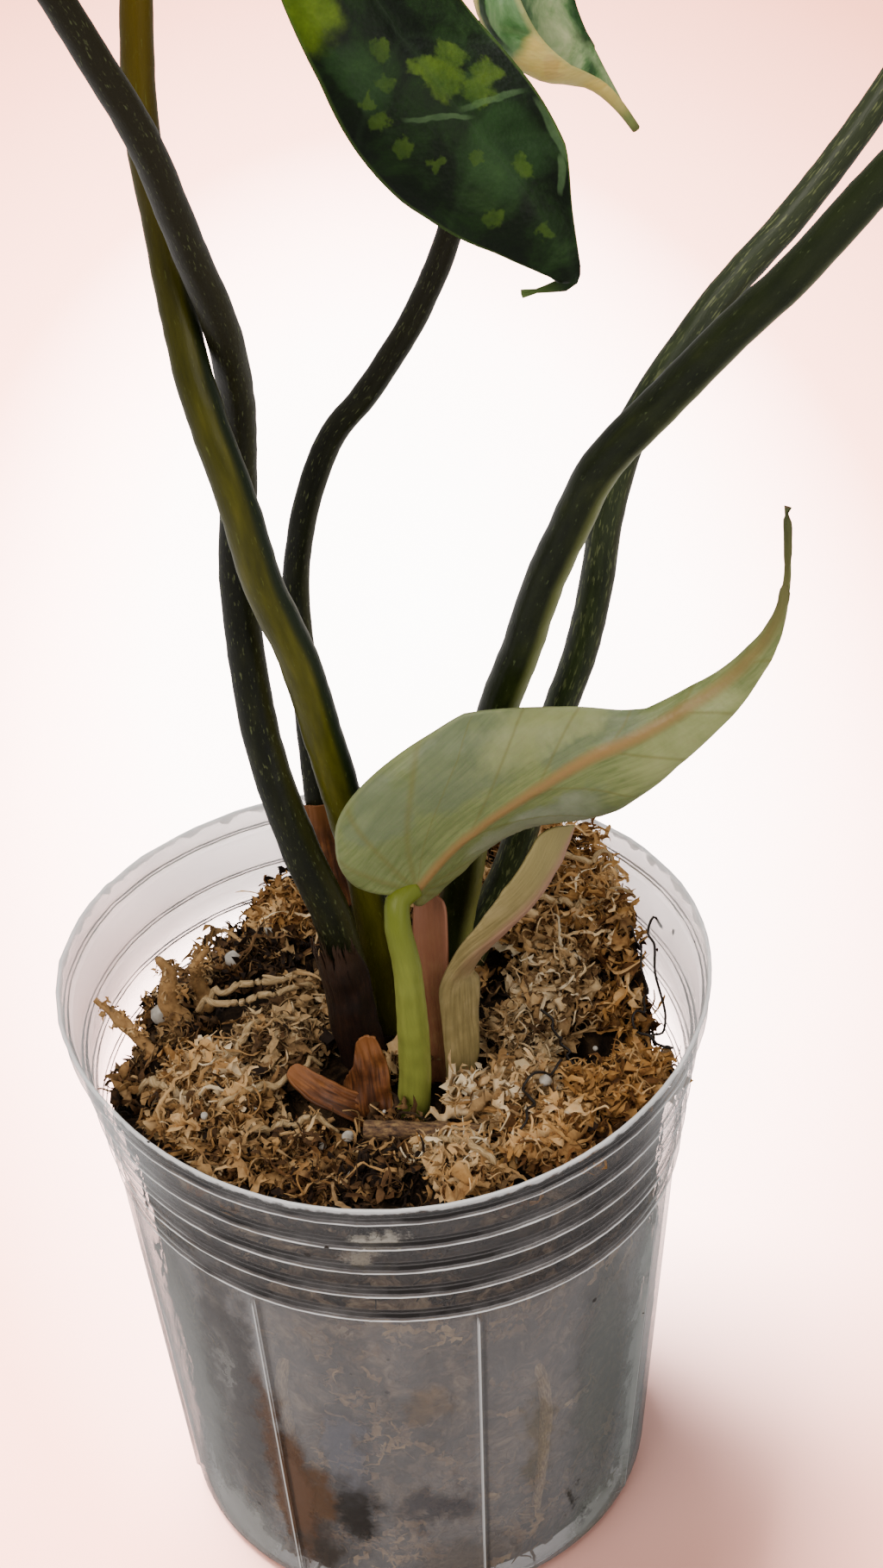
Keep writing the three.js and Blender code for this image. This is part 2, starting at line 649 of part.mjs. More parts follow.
function mossSolid() {
  const room = roomSolid(mossGap);
  let body = mossPlug();
  for (const strand of mossStrands()) body = body.add(strand.intersect(room));
  body = body.subtract(rhizomeSolid(gap));
  for (const stalk of Object.values(stalks)) body = body.subtract(stalkRod(stalk, gap));
  for (const bract of Object.values(bracts)) {
    body = body.subtract(withFoot(bractSolid(bract, gap), bract.spine));
  }
  return mainBody(body.subtract(twigSolid(gap)));
}

// Assembly

const finishes = {
  clearPlastic: { color: '#dfe3e2', roughness: 0.25, transparent: true, opacity: 0.35 },
  moss: { color: '#9a7a52', roughness: 0.95 },
  rhizome: { color: '#8a6f4a', roughness: 0.85 },
  darkStalk: { color: '#28351c', roughness: 0.45 },
  yellowStalk: { color: '#77812b', roughness: 0.45 },
  youngStalk: { color: '#a3bb3a', roughness: 0.4 },
  darkBlade: { color: '#264a24', roughness: 0.35 },
  creamBlade: { color: '#9fb37c', roughness: 0.35 },
  youngBlade: { color: '#9fb08c', roughness: 0.4 },
  tanBract: { color: '#b9a67f', roughness: 0.6 },
  pinkBract: { color: '#b57f66', roughness: 0.6 },
  driedBract: { color: '#5a3a1e', roughness: 0.8 },
  twig: { color: '#a98d62', roughness: 0.85 },
};

const plant = new THREE.Group();

function add(name, solid, finish) {
  const mesh = new THREE.Mesh(toGeometry(solid), new THREE.MeshStandardMaterial(finishes[finish]));
  mesh.name = name;
  plant.add(mesh);
}

add('pot', potSolid(), 'clearPlastic');
add('moss', mossSolid(), 'moss');
add('rhizome', rhizomeSolid(), 'rhizome');
const stalkFinishes = { b: 'yellowStalk', young: 'youngStalk' };
const bladeFinishes = { c: 'creamBlade', young: 'youngBlade' };
for (const key of Object.keys(stalks)) {
  add(`petiole_${key}`, stalkSolid(stalks[key], blades[key]), stalkFinishes[key] ?? 'darkStalk');
  add(`blade_${key}`, bladeSolid(blades[key]), bladeFinishes[key] ?? 'darkBlade');
}
const bractFinishes = { tan: 'tanBract', pink: 'pinkBract' };
for (const [name, keys] of Object.entries(bractPieces)) {
  const body = keys.map((key) => bractSolid(bracts[key])).reduce((whole, lobe) => whole.add(lobe));
  add(name, body, bractFinishes[keys[0]] ?? 'driedBract');
}
add('twig', twigSolid(), 'twig');

export default plant;
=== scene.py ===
import math
import random

import bmesh
import bpy
import numpy as np
from mathutils import Matrix, Vector, noise


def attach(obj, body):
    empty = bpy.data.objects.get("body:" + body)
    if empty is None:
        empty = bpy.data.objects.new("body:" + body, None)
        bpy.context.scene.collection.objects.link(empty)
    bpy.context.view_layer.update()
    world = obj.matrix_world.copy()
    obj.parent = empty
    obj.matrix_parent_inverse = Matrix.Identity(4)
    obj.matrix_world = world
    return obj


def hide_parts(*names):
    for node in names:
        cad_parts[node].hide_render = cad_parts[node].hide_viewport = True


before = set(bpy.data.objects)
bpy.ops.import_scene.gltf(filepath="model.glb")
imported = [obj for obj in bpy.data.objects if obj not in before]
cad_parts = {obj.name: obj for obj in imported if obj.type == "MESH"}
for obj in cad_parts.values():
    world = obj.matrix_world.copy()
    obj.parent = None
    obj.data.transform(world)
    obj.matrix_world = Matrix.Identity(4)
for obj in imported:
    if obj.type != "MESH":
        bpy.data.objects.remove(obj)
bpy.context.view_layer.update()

mm = 0.001  # tables below hold millimetres, meshes hold metres


# Small helpers

def linear(hexColour):  # sRGB hex to linear RGBA
    parts = [int(hexColour[i:i + 2], 16) / 255 for i in (1, 3, 5)]
    return (*[p / 12.92 if p <= 0.04045 else ((p + 0.055) / 1.055) ** 2.4 for p in parts], 1)


def connect(tree, node, links):  # each link starts at a socket, or at a node whose first output is meant
    for name, source in links.items():
        start = source.outputs[0] if isinstance(source, bpy.types.Node) else source
        tree.links.new(start, node.inputs[name])


def addNode(tree, kind, values=None, links=None, stops=None, **options):
    node = tree.nodes.new("ShaderNode" + kind)
    for name, value in options.items():
        setattr(node, name, value)
    for name, value in (values or {}).items():
        node.inputs[name].default_value = value
    connect(tree, node, links or {})
    if stops:
        ramp = node.color_ramp.elements
        ramp[0].position, ramp[0].color = stops[0][0], linear(stops[0][1])
        ramp[1].position, ramp[1].color = stops[-1][0], linear(stops[-1][1])
        for place, colour in stops[1:-1]:
            ramp.new(place).color = linear(colour)
    return node


def strongest(tree, masks):  # the highest of several masks at every spot, 1 at most
    result = masks[0]
    for mask in masks[1:]:
        result = addNode(tree, "Math", operation="MAXIMUM", use_clamp=True, links={0: result, 1: mask})
    return result


def raggedPlace(tree, place, reach, grain, detail, roughness):  # a place pushed about, to fray what it draws
    push = addNode(tree, "TexNoise", links={"Vector": place},
                   values={"Scale": grain, "Detail": detail, "Roughness": roughness}).outputs["Color"]
    shift = addNode(tree, "VectorMath", operation="SUBTRACT", values={1: (0.5, 0.5, 0.5)}, links={0: push})
    return addNode(tree, "VectorMath", operation="MULTIPLY_ADD", values={1: (*reach, 0)},
                   links={0: shift, 2: place})


def newMaterial(name, roughness, ior=1.45):
    material = bpy.data.materials.new(name)
    material.use_nodes = True
    shader = material.node_tree.nodes["Principled BSDF"]
    shader.inputs["Roughness"].default_value = roughness
    shader.inputs["IOR"].default_value = ior
    return material, material.node_tree, shader


def smoothstep(low, high, value):
    t = np.clip((value - low) / (high - low), 0, 1)
    return t * t * (3 - 2 * t)


def readEvenly(values, place):  # values stand in even steps from 0 to 1
    return np.interp(place, np.linspace(0, 1, len(values)), values)


def curveThrough(points, perStretch=24):  # centripetal curve, sampled in every stretch
    p = np.array(points, float)
    p = np.vstack([2 * p[0] - p[1], p, 2 * p[-1] - p[-2]])
    t = np.linspace(0, 1, perStretch, endpoint=False)[:, None]
    places = []
    for a, b, c, d in zip(p, p[1:], p[2:], p[3:]):
        d0, d1, d2 = (np.linalg.norm(y - x) ** 0.5 for x, y in ((a, b), (b, c), (c, d)))
        d1 = d1 if d1 > 1e-4 else 1  # points may repeat
        d0, d2 = (gap if gap > 1e-4 else d1 for gap in (d0, d2))
        m1 = ((b - a) / d0 - (c - a) / (d0 + d1) + (c - b) / d1) * d1
        m2 = ((c - b) / d1 - (d - b) / (d1 + d2) + (d - c) / d2) * d1
        places.append(b + m1 * t + (3 * (c - b) - 2 * m1 - m2) * t ** 2 + (2 * (b - c) + m1 + m2) * t ** 3)
    return np.vstack([*places, p[-2]])


def splineThrough(points, perStretch=24):  # the even spline that outlines use
    p = np.array(points, float)
    p = np.vstack([p[0], p, p[-1]])
    t = np.linspace(0, 1, perStretch, endpoint=False)[:, None]
    places = []
    for a, b, c, d in zip(p, p[1:], p[2:], p[3:]):
        m1, m2 = (c - a) / 2, (d - b) / 2
        places.append(b + m1 * t + (3 * (c - b) - 2 * m1 - m2) * t ** 2 + (2 * (b - c) + m1 + m2) * t ** 3)
    return np.vstack([*places, p[-2]])


def readCurve(places, t):
    steps = np.linspace(0, 1, len(places))
    return np.column_stack([np.interp(t, steps, places[:, k]) for k in range(places.shape[1])])


def byLength(places, count=400):  # the same curve in even steps of its length, and that length
    reach = np.concatenate([[0], np.cumsum(np.linalg.norm(np.diff(places, axis=0), axis=1))])
    even = np.linspace(0, reach[-1], count)
    columns = [np.interp(even, reach, places[:, k]) for k in range(places.shape[1])]
    return np.column_stack(columns), reach[-1]


def pointOn(places, t):
    return readCurve(places, np.array([t]))[0]


def clamp(value):
    return min(1, max(0, value))


def unit(vectors):
    return vectors / np.linalg.norm(vectors, axis=1, keepdims=True)


def noiseAt(points, scale, seed=0):  # smooth noise from -1 to 1 at each place in mm
    offset = Vector((seed * 7.3, seed * 3.1, seed * 5.7))
    return np.array([noise.noise(Vector(p) * scale + offset) for p in points])


def gridMesh(name, columns, rows, shape, weld=False):
    # A flat grid whose points shape() carries to their place. It gives places in mm and maps by name.
    bm = bmesh.new()
    bmesh.ops.create_grid(bm, x_segments=columns, y_segments=rows, size=1)
    mesh = bpy.data.meshes.new(name)
    bm.to_mesh(mesh)
    flat = np.empty(len(mesh.vertices) * 3, np.float32)
    mesh.vertices.foreach_get("co", flat)
    flat = flat.reshape(-1, 3).astype(float)
    places, maps = shape(flat[:, 0], (flat[:, 1] + 1) / 2)
    mesh.vertices.foreach_set("co", (places * mm).astype(np.float32).ravel())
    corners = np.empty(len(mesh.loops), np.int32)
    mesh.loops.foreach_get("vertex_index", corners)
    for mapName, pair in maps.items():
        layer = mesh.uv_layers.new(name=mapName)
        layer.uv.foreach_set("vector", pair[corners].astype(np.float32).ravel())
    if weld:
        bm.clear()
        bm.from_mesh(mesh)
        bmesh.ops.remove_doubles(bm, verts=bm.verts, dist=1e-6)
        rims = [edge for edge in bm.edges if edge.is_boundary]
        if rims:
            bmesh.ops.holes_fill(bm, edges=rims, sides=0)
        bmesh.ops.recalc_face_normals(bm, faces=bm.faces)
        bm.to_mesh(mesh)
    bm.free()
    mesh.shade_smooth()
    return mesh


def finishMesh(name, bm):  # a smooth mesh of what the bmesh holds
    mesh = bpy.data.meshes.new(name)
    bm.to_mesh(mesh)
    bm.free()
    mesh.shade_smooth()
    return mesh


def joinMeshes(name, meshes):
    bm = bmesh.new()
    for mesh in meshes:
        bm.from_mesh(mesh)
        bpy.data.meshes.remove(mesh)
    return finishMesh(name, bm)


def addPiece(name, mesh, material, slotName, *nodes):
    piece = bpy.data.objects.new(name, mesh)
    bpy.context.collection.objects.link(piece)
    mesh.materials.append(material)
    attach(piece, "root")
    if nodes:
        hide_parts(*nodes)
    return piece


# Camera: it looks down on the crown of the plant from the front

camera = {
    "place": (0, -0.36352, 0.42292),
    "right": (0.99648, -0.06859, -0.04816),
    "up": (0.07906, 0.57855, 0.81181),
    "lens": 59.37,  # on a 36 mm sensor, whose width is the picture's long side
}
lens = bpy.data.cameras.new("photoCamera")
lens.lens, lens.sensor_width = camera["lens"], 36
lens.clip_start, lens.clip_end = 0.01, 20
photoCamera = bpy.data.objects.new("photoCamera", lens)
bpy.context.collection.objects.link(photoCamera)
right, up = Vector(camera["right"]), Vector(camera["up"])
turn = Matrix((right, up, right.cross(up))).transposed()
photoCamera.matrix_world = Matrix.Translation(camera["place"]) @ turn.to_4x4()
bpy.context.scene.camera = photoCamera


# Pot: a thin clear moulding with ribs, rings and a flared lip

pot = {
    "height": 122,
    "wall": 0.8,
    "floor": 1,
    "profile": [[0, 44.2], [2.6, 46.6], [86, 52.7], [111, 56.5], [122, 59.8]],  # height, outer radius
    "squeeze": [[0, 0], [86, 1.5], [122, 0.6]],  # height, how far it is pressed oval
    "lipWave": [[0, 0], [86, 0], [111, 0.4], [122, 1.25]],  # height, how far it is bent in three waves
    "rings": [87.6, 94.7, 101.8, 108.6, 117.2],
    "ringHeight": 1.6,
    "ringDepth": 0.7,
    "ribs": 8,
    "firstRib": -122.5,  # degrees from +X
    "ribFrom": 4.6,
    "ribTo": 85,
    "ribDepth": 0.6,
    "ribWidth": 1.1,  # half its width, in degrees of the circle
    "seam": -97.7,  # the mould's parting line, in degrees
    "seamDepth": 0.05,
    "drains": 8,
    "drainRadius": 4,
    "drainCircle": 30,
    "plainStep": 4.2,  # degrees between columns away from the ribs
    "lipWobble": 0.35,  # how uneven the lip is outwards
    "lipRagged": 0.5,  # and upwards
    "lipDrop": 0.3,
    "stainsAndReflections": [
        # degrees from the front, height, half width in degrees, half height, colour, how dense
        # The broad grey to near-white bands from about ±43° out to ±82° are painted reflection, paler towards
        # the sides; the other spots are stains and damp patches
        [-43, 55, 9, 46, "#5f5b5a", 0.66],
        [-60, 48, 14, 52, "#8f908d", 0.66],
        [-76, 40, 12, 60, "#aab0ae", 0.75],
        [-52, 9, 20, 13, "#b2b1ad", 0.7],
        [-82, 55, 9, 80, "#d3d8da", 0.6],
        [-45, 58, 1.6, 12, "#a9a7a3", 0.3],
        [-34, 46, 4, 22, "#6b4526", 0.55],
        [-31, 28, 6.5, 24, "#65401f", 0.85],
        [-24, 30, 5, 12, "#6b4a2c", 0.6],
        [-16, 30, 7, 10, "#2f2822", 0.7],
        [-24, 15, 9, 8, "#453a30", 0.55],
        [-17, 48, 6, 15, "#82828a", 0.5],
        [3, 31, 12, 7, "#4d4a50", 0.4],
        [8, 12, 14, 12, "#8a8079", 0.45],
        [-5, 110, 4.2, 4, "#c4bdb0", 0.85],
        [-7, 104.5, 3, 2.6, "#a39a8c", 0.6],
        [1.5, 62, 7, 4.5, "#94816f", 0.42],
        [26, 44, 4, 20, "#958b78", 0.4],
        [44, 50, 12, 45, "#8b8e8b", 0.52],
        [60, 45, 11, 70, "#b4b9b7", 0.72],
        [73, 55, 14, 80, "#ccd2d4", 0.62],
        [46, 8, 16, 12, "#a8aca6", 0.6],
        [36, 20, 1.6, 3, "#3a3834", 0.6],
        [40.5, 10, 2.4, 3.4, "#4c4e4c", 0.5],
    ],
}


def atHeight(table, z):  # reads one of the pot's tables
    heights, values = zip(*pot[table])
    return np.interp(z, heights, values)


def outOfRound(angle, z):
    return atHeight("lipWave", z) * np.sin(3 * angle) - atHeight("squeeze", z) * np.sin(2 * angle)


def roomRadius(angle, z, away):  # the room inside the wall, and this far away from it
    return atHeight("profile", z) - pot["wall"] - away + outOfRound(angle, z)


def potColumns():  # angles of the grid's columns, closer together at the ribs and the seam
    share = 360 / pot["ribs"]
    near = [-1.8, -1.1, -0.8, -0.45, 0, 0.45, 0.8, 1.1, 1.8]
    angles = []
    for rib in range(pot["ribs"]):
        start = pot["firstRib"] + rib * share
        angles += [start + a for a in near]
        count = round((share - near[-1] + near[0]) / pot["plainStep"])
        angles += list(np.linspace(start + near[-1], start + share + near[0], count + 1)[1:-1])
    angles += [pot["seam"] + a for a in (-0.45, -0.2, 0, 0.2, 0.45)]
    angles = sorted(angles)
    return np.radians([*angles, angles[0] + 360])


def potRows():  # [height, inset from the outer wall, share of the radius], from foot centre to floor centre
    heights = [0, 1.2, 2.6, 3.8, 4.6, 5.6, *np.linspace(9, 84, 20), 85, 85.8]
    for ring in pot["rings"]:
        heights += list(ring + pot["ringHeight"] / 2 * np.linspace(-1, 1, 7))
    heights += [91, 98.8, 106.3, 114, 116.5, 120.4, 121.6]
    heights = sorted(heights)
    outer = [[0, 0, share] for share in (0, 0.4, 0.55, 0.68, 0.82, 0.96)] + [[z, 0, 1] for z in heights]
    lip = [[121.9, 0.12, 1], [122, 0.4, 1], [121.9, 0.68, 1]]
    inner = [[z, pot["wall"], 1] for z in reversed(heights) if z > pot["floor"]]
    inner += [[pot["floor"], pot["wall"], share] for share in (1, 0.96, 0.82, 0.68, 0.55, 0.4, 0)]
    return np.array(outer + lip + inner, float)


def potShape(u, v):
    angles, rows = potColumns(), potRows()
    column = np.round((u + 1) / 2 * (len(angles) - 1)).astype(int)
    row = np.round(v * (len(rows) - 1)).astype(int)
    angle = angles[column]
    z, inset, share = rows[row].T
    bead = np.zeros(len(z))
    for ring in pot["rings"]:
        bead += np.cos(np.clip((z - ring) / pot["ringHeight"], -0.5, 0.5) * math.pi) ** 2
    turnShare = math.radians(360 / pot["ribs"])
    offRib = np.abs((angle - math.radians(pot["firstRib"]) + turnShare / 2) % turnShare - turnShare / 2)
    onRib = 1 - smoothstep(math.radians(0.4), math.radians(pot["ribWidth"]), offRib)
    onRib *= (z >= pot["ribFrom"]) & (z <= pot["ribTo"])
    offSeam = np.abs(np.degrees(angle) - pot["seam"])
    onSeam = (1 - smoothstep(0.15, 0.45, offSeam)) * (z > 3) * (z < 120)
    circle = np.column_stack([np.cos(angle), np.sin(angle)])
    # The lip is uneven, most of all at the front left
    front = 0.4 + 0.6 * smoothstep(-0.2, 0.9, -0.7 * circle[:, 0] - 0.7 * circle[:, 1])
    coarse = noiseAt(np.column_stack([circle * 9, z * 0.02]), 1, 3)
    wobble = coarse + 0.7 * noiseAt(np.column_stack([circle * 26, z * 0.05]), 1, 5)
    radius = atHeight("profile", z) + outOfRound(angle, z) + pot["ringDepth"] * bead + pot["ribDepth"] * onRib
    radius += pot["seamDepth"] * onSeam + pot["lipWobble"] * wobble * front * smoothstep(112, 122, z)
    radius = (radius - inset) * share
    nearLip = smoothstep(119, 122, z)
    height = z + pot["lipRagged"] * wobble * front * nearLip - pot["lipDrop"] * nearLip
    places = np.column_stack([circle * radius[:, None], np.clip(height, 0, pot["height"])])
    fromFront = (np.degrees(angle) + 90 + 180) % 360 - 180
    return places, {"wall": np.column_stack([fromFront / 100, z / 100])}


def clearPolypropylene():
    # Thin moulded plastic: clear with a light haze, painted white highlights and painted shade lines on its
    # rings and ribs, frosted round the lip
    material, tree, shader = newMaterial("clearPolypropylene", 0.16, 1.49)
    place = addNode(tree, "TexCoord").outputs["Object"]
    wall = addNode(tree, "UVMap", uv_map="wall")
    # Haze lies in soft upright smears about 25 mm across
    upright = addNode(tree, "Mapping", values={"Scale": (1, 1, 0.35)}, links={"Vector": place})
    smears = addNode(tree, "TexNoise", links={"Vector": upright},
                     values={"Scale": 40, "Detail": 5, "Roughness": 0.6}).outputs["Fac"]
    haze = addNode(tree, "MapRange", values={1: 0.35, 2: 0.72, 3: 0.05, 4: 0.21}, links={0: smears})
    # The lip is frosted above the moss, except at the front
    axis = addNode(tree, "SeparateXYZ", links={0: place})
    high = addNode(tree, "MapRange", interpolation_type="SMOOTHSTEP",
                   values={1: 0.094, 2: 0.108, 3: 0, 4: 1}, links={0: axis.outputs[2]})
    behind = addNode(tree, "MapRange", interpolation_type="SMOOTHSTEP",
                     values={1: -0.044, 2: -0.01, 3: 0.02, 4: 0.6}, links={0: axis.outputs[1]})
    frost = addNode(tree, "Math", operation="MULTIPLY", links={0: high, 1: behind})
    facing = addNode(tree, "LayerWeight", values={"Blend": 0.3}).outputs["Facing"]
    alpha = addNode(tree, "Math", operation="MULTIPLY_ADD", values={1: 0.5}, links={0: facing, 2: haze})
    band = addNode(tree, "MapRange", values={1: 0.085, 2: 0.09, 3: 1, 4: 0.3},
                   links={0: axis.outputs[2]})  # the ring band is the clearest part of the wall
    alpha = addNode(tree, "Math", operation="MULTIPLY_ADD", links={0: alpha, 1: band, 2: frost})
    foot = addNode(tree, "MapRange", values={1: 0.002, 2: 0.009, 3: 0.62, 4: 0},
                   links={0: axis.outputs[2]})  # dust and scratches where the pot stands
    alpha = strongest(tree, [alpha, foot])
    # Paler where frosted, and paler at grazing angles as painted reflection
    frostAndReflection = addNode(tree, "MapRange", values={1: 0, 2: 0.25, 3: 0, 4: 1}, links={0: frost})
    frostAndReflection = addNode(tree, "Math", operation="MULTIPLY_ADD", use_clamp=True, values={1: 0.7},
                    links={0: facing, 2: frostAndReflection})
    tone = addNode(tree, "Mix", data_type="RGBA", links={0: frostAndReflection},
                   values={6: linear("#a09a9a"), 7: linear("#e9ecef")}).outputs[2]
    # Stains and damp patches on the inside, and painted reflection in grey to near-white bands towards the
    # sides, each a soft spot on the unrolled wall
    bent = raggedPlace(tree, wall, (0.22, 0.3), 13, 8, 0.74)
    for turned, height, across, tall, colour, dense in pot["stainsAndReflections"]:
        centred = addNode(tree, "VectorMath", operation="SUBTRACT",
                          values={1: (turned / 100, height / 100, 0)}, links={0: bent})
        scaled = addNode(tree, "VectorMath", operation="MULTIPLY",
                         values={1: (100 / across, 100 / tall, 0)}, links={0: centred})
        away = addNode(tree, "VectorMath", operation="LENGTH", links={0: scaled}).outputs["Value"]
        spot = addNode(tree, "MapRange", interpolation_type="SMOOTHSTEP",
                       values={1: 0.35, 2: 1.15, 3: dense, 4: 0}, links={0: away})
        alpha = strongest(tree, [alpha, spot])
        tint = addNode(tree, "Math", operation="MULTIPLY", use_clamp=True, values={1: 1.8}, links={0: spot})
        tone = addNode(tree, "Mix", data_type="RGBA", values={7: linear(colour)},
                       links={0: tint, 6: tone}).outputs[2]
    # Grains of dirt, 0.4 mm across, stick to the wall
    dirt = addNode(tree, "TexVoronoi", values={"Scale": 170}, links={"Vector": place}).outputs["Distance"]
    few = addNode(tree, "TexNoise", values={"Scale": 60, "Detail": 2}, links={"Vector": place}).outputs["Fac"]
    size = addNode(tree, "MapRange", values={1: 0.52, 2: 0.72, 3: 0, 4: 0.13}, links={0: few})
    speck = addNode(tree, "Math", operation="LESS_THAN", links={0: dirt, 1: size})
    # Painted highlight: a white line on the crest of each ring and rib, with a painted shade line over or
    # beside it
    unrolled = addNode(tree, "SeparateXYZ", links={0: wall})
    sway = addNode(tree, "TexNoise", values={"Scale": 12, "Detail": 3}, links={"Vector": wall}).outputs["Fac"]
    height = addNode(tree, "Math", operation="MULTIPLY_ADD", values={1: 0.004},
                     links={0: sway, 2: unrolled.outputs[1]})
    # A painted highlight along the lip's torn edge
    torn = addNode(tree, "TexNoise", values={"Scale": 420, "Detail": 3}, links={"Vector": place})
    rim = addNode(tree, "Math", operation="MULTIPLY_ADD", values={1: 0.003},
                  links={0: torn.outputs["Fac"], 2: axis.outputs[2]})
    paintedHighlights = [addNode(tree, "MapRange", values={1: 0.1216, 2: 0.1225, 3: 0, 4: 0.92}, links={0: rim})]
    paintedShades = []
    core, fade = 0.004, 0.012  # a line is full to the first and gone at the second, times its half width
    for ring in pot["rings"]:
        for offset, half, lines in ((0, 0.27, paintedHighlights), (1.05, 0.9, paintedShades)):
            middle = (ring + 0.2 + offset) / 100
            off = addNode(tree, "Math", operation="SUBTRACT", values={1: middle}, links={0: height})
            near = addNode(tree, "Math", operation="ABSOLUTE", links={0: off})
            lines.append(addNode(tree, "MapRange", interpolation_type="SMOOTHSTEP", links={0: near},
                                 values={1: half * core, 2: half * fade, 3: 1, 4: 0}))
    broken = addNode(tree, "MapRange", values={1: 0.3, 2: 0.55, 3: 0.6, 4: 1}, links={0: smears})
    shown = addNode(tree, "MapRange", values={1: -0.045, 2: -0.02, 3: 1, 4: 0.16},
                    links={0: axis.outputs[1]})  # the painted shade lines are kept mostly to the front
    shade = strongest(tree, paintedShades)
    for factor in (broken, shown):
        shade = addNode(tree, "Math", operation="MULTIPLY", links={0: shade, 1: factor})
    paintedShades = [shade]
    below = addNode(tree, "MapRange", values={1: 0.84, 2: 0.86, 3: 1, 4: 0}, links={0: unrolled.outputs[1]})
    halfShare = 3.6 / pot["ribs"] / 2  # half the way from rib to rib on the map
    for offset, half, strength, lines in ((0, 0.22, 0.85, paintedHighlights), (1.1, 0.6, 0.6, paintedShades)):
        turned = addNode(tree, "Math", operation="SUBTRACT", links={0: unrolled},
                         values={1: (pot["firstRib"] + 90 + offset) / 100})
        away = addNode(tree, "Math", operation="PINGPONG", values={1: halfShare}, links={0: turned})
        line = addNode(tree, "MapRange", interpolation_type="SMOOTHSTEP", links={0: away},
                       values={1: half * core, 2: half * fade, 3: strength, 4: 0})
        lines.append(addNode(tree, "Math", operation="MULTIPLY", links={0: line, 1: below}))
    # Painted shade lines in near black and painted highlights in white go over the tone; the specks are dirt
    for colour, masks in (("#140e0b", paintedShades), ("#ffffff", paintedHighlights), ("#2a211a", [speck])):
        amount = strongest(tree, masks)
        alpha = strongest(tree, [alpha, amount])
        tone = addNode(tree, "Mix", data_type="RGBA", values={7: linear(colour)},
                       links={0: amount, 6: tone}).outputs[2]
    gloss = addNode(tree, "MapRange", values={1: 0.3, 2: 0.8, 3: 0.06, 4: 0.22}, links={0: smears})
    connect(tree, shader, {"Base Color": tone, "Alpha": alpha, "Roughness": gloss})
    return material


def makePot():
    mesh = gridMesh("nurseryPot", len(potColumns()) - 1, len(potRows()) - 1, potShape, weld=True)
    piece = addPiece("nurseryPot", mesh, clearPolypropylene(), "clear_plastic", "pot")
    bm = bmesh.new()
    drillLength = 6 * mm
    for i in range(pot["drains"]):
        angle = (i + 0.5) / pot["drains"] * 2 * math.pi
        spot = Matrix.Translation((pot["drainCircle"] * mm * math.cos(angle),
                                   pot["drainCircle"] * mm * math.sin(angle), 0))
        bmesh.ops.create_cone(bm, cap_ends=True, segments=32, radius1=pot["drainRadius"] * mm,
                              radius2=pot["drainRadius"] * mm, depth=drillLength, matrix=spot)
    drill = bpy.data.objects.new("drill", bpy.data.meshes.new("drill"))
    bm.to_mesh(drill.data)
    bm.free()
    bpy.context.collection.objects.link(drill)
    cut = piece.modifiers.new("drains", "BOOLEAN")
    cut.object, cut.operation, cut.solver = drill, "DIFFERENCE", "EXACT"
    drilled = bpy.data.meshes.new_from_object(piece.evaluated_get(bpy.context.evaluated_depsgraph_get()))
    piece.modifiers.clear()
    piece.data = drilled
    bpy.data.objects.remove(drill)
    return piece


# Leaves: one way to place them serves blades, bracts and dried sheaths

def leafPlaces(leaf, u, v):
    midrib, length = byLength(curveThrough(leaf["spine"]))
    tangents = unit(np.gradient(midrib, axis=0))
    faces = curveThrough(leaf["face"])
    outline = leaf["outline"]
    edge = readCurve(byLength(splineThrough(outline))[0], v)
    rootY = np.maximum(0, edge[:, 1] - 0.3 * edge[:, 0])
    x = u * edge[:, 0] * length
    y = (rootY + (edge[:, 1] - rootY) * np.abs(u)) * length
    t = np.clip(y / length, 0, 1)
    side = (u >= 0).astype(int)
    x = x * np.where(side, readEvenly(leaf["width"][1], t), readEvenly(leaf["width"][0], t))
    along = unit(readCurve(tangents, t))
    upward = readCurve(faces, t)
    upward = unit(upward - along * np.sum(upward * along, axis=1, keepdims=True))
    across = np.cross(along, upward)
    halfWidth = max(px for px, _ in outline) * length
    reach = np.abs(x)
    fold, curl, roll = (np.array(leaf[key])[side] for key in ("fold", "curl", "roll"))
    out, rise = np.zeros(len(u)), np.zeros(len(u))
    turns, rollFrom = 12, leaf.get("rollFrom", 0.7)
    for i in range(turns):
        part = (i + 0.5) / turns
        margin = np.maximum(0, (np.abs(u) * part - rollFrom) / (1 - rollFrom))
        angle = fold + curl * reach * part / halfWidth + roll * margin
        out += np.cos(angle) * reach / turns
        rise += np.sin(angle) * reach / turns
    waveHeight, waveCount = leaf["wave"]
    ripple = np.sin(2 * math.pi * waveCount * y / length + side * 1.3)
    rise += waveHeight * ripple * (reach / halfWidth) ** 2
    rise += leaf["relief"](x, y, u, length) if "relief" in leaf else 0
    places = readCurve(midrib, t) + along * np.minimum(0, y)[:, None]
    places += across * (np.sign(x) * out)[:, None] + upward * rise[:, None]
    maps = {"flat": np.column_stack([x, y]) / 100, "span": np.column_stack([u, y / length])}
    return places, maps


def closerAtMidrib(u):
    return np.sign(u) * np.abs(u) ** 1.35


def veinDistance(veins, x, y):
    # mm from the nearest side vein, which curves away from the midrib or, near the foot, fans out from it
    away = np.abs(x)
    start = y - veins["slope"] * away - veins["bend"] * away ** 2
    spacing = veins["spacing"]
    gap = np.abs((start + spacing / 2) % spacing - spacing / 2) / math.hypot(1, veins["slope"])
    fan = math.radians(veins["fan"])
    turned = np.abs((np.arctan2(away, y) + fan / 2) % fan - fan / 2) * np.hypot(x, y)
    return np.where(start > 0, gap, turned)


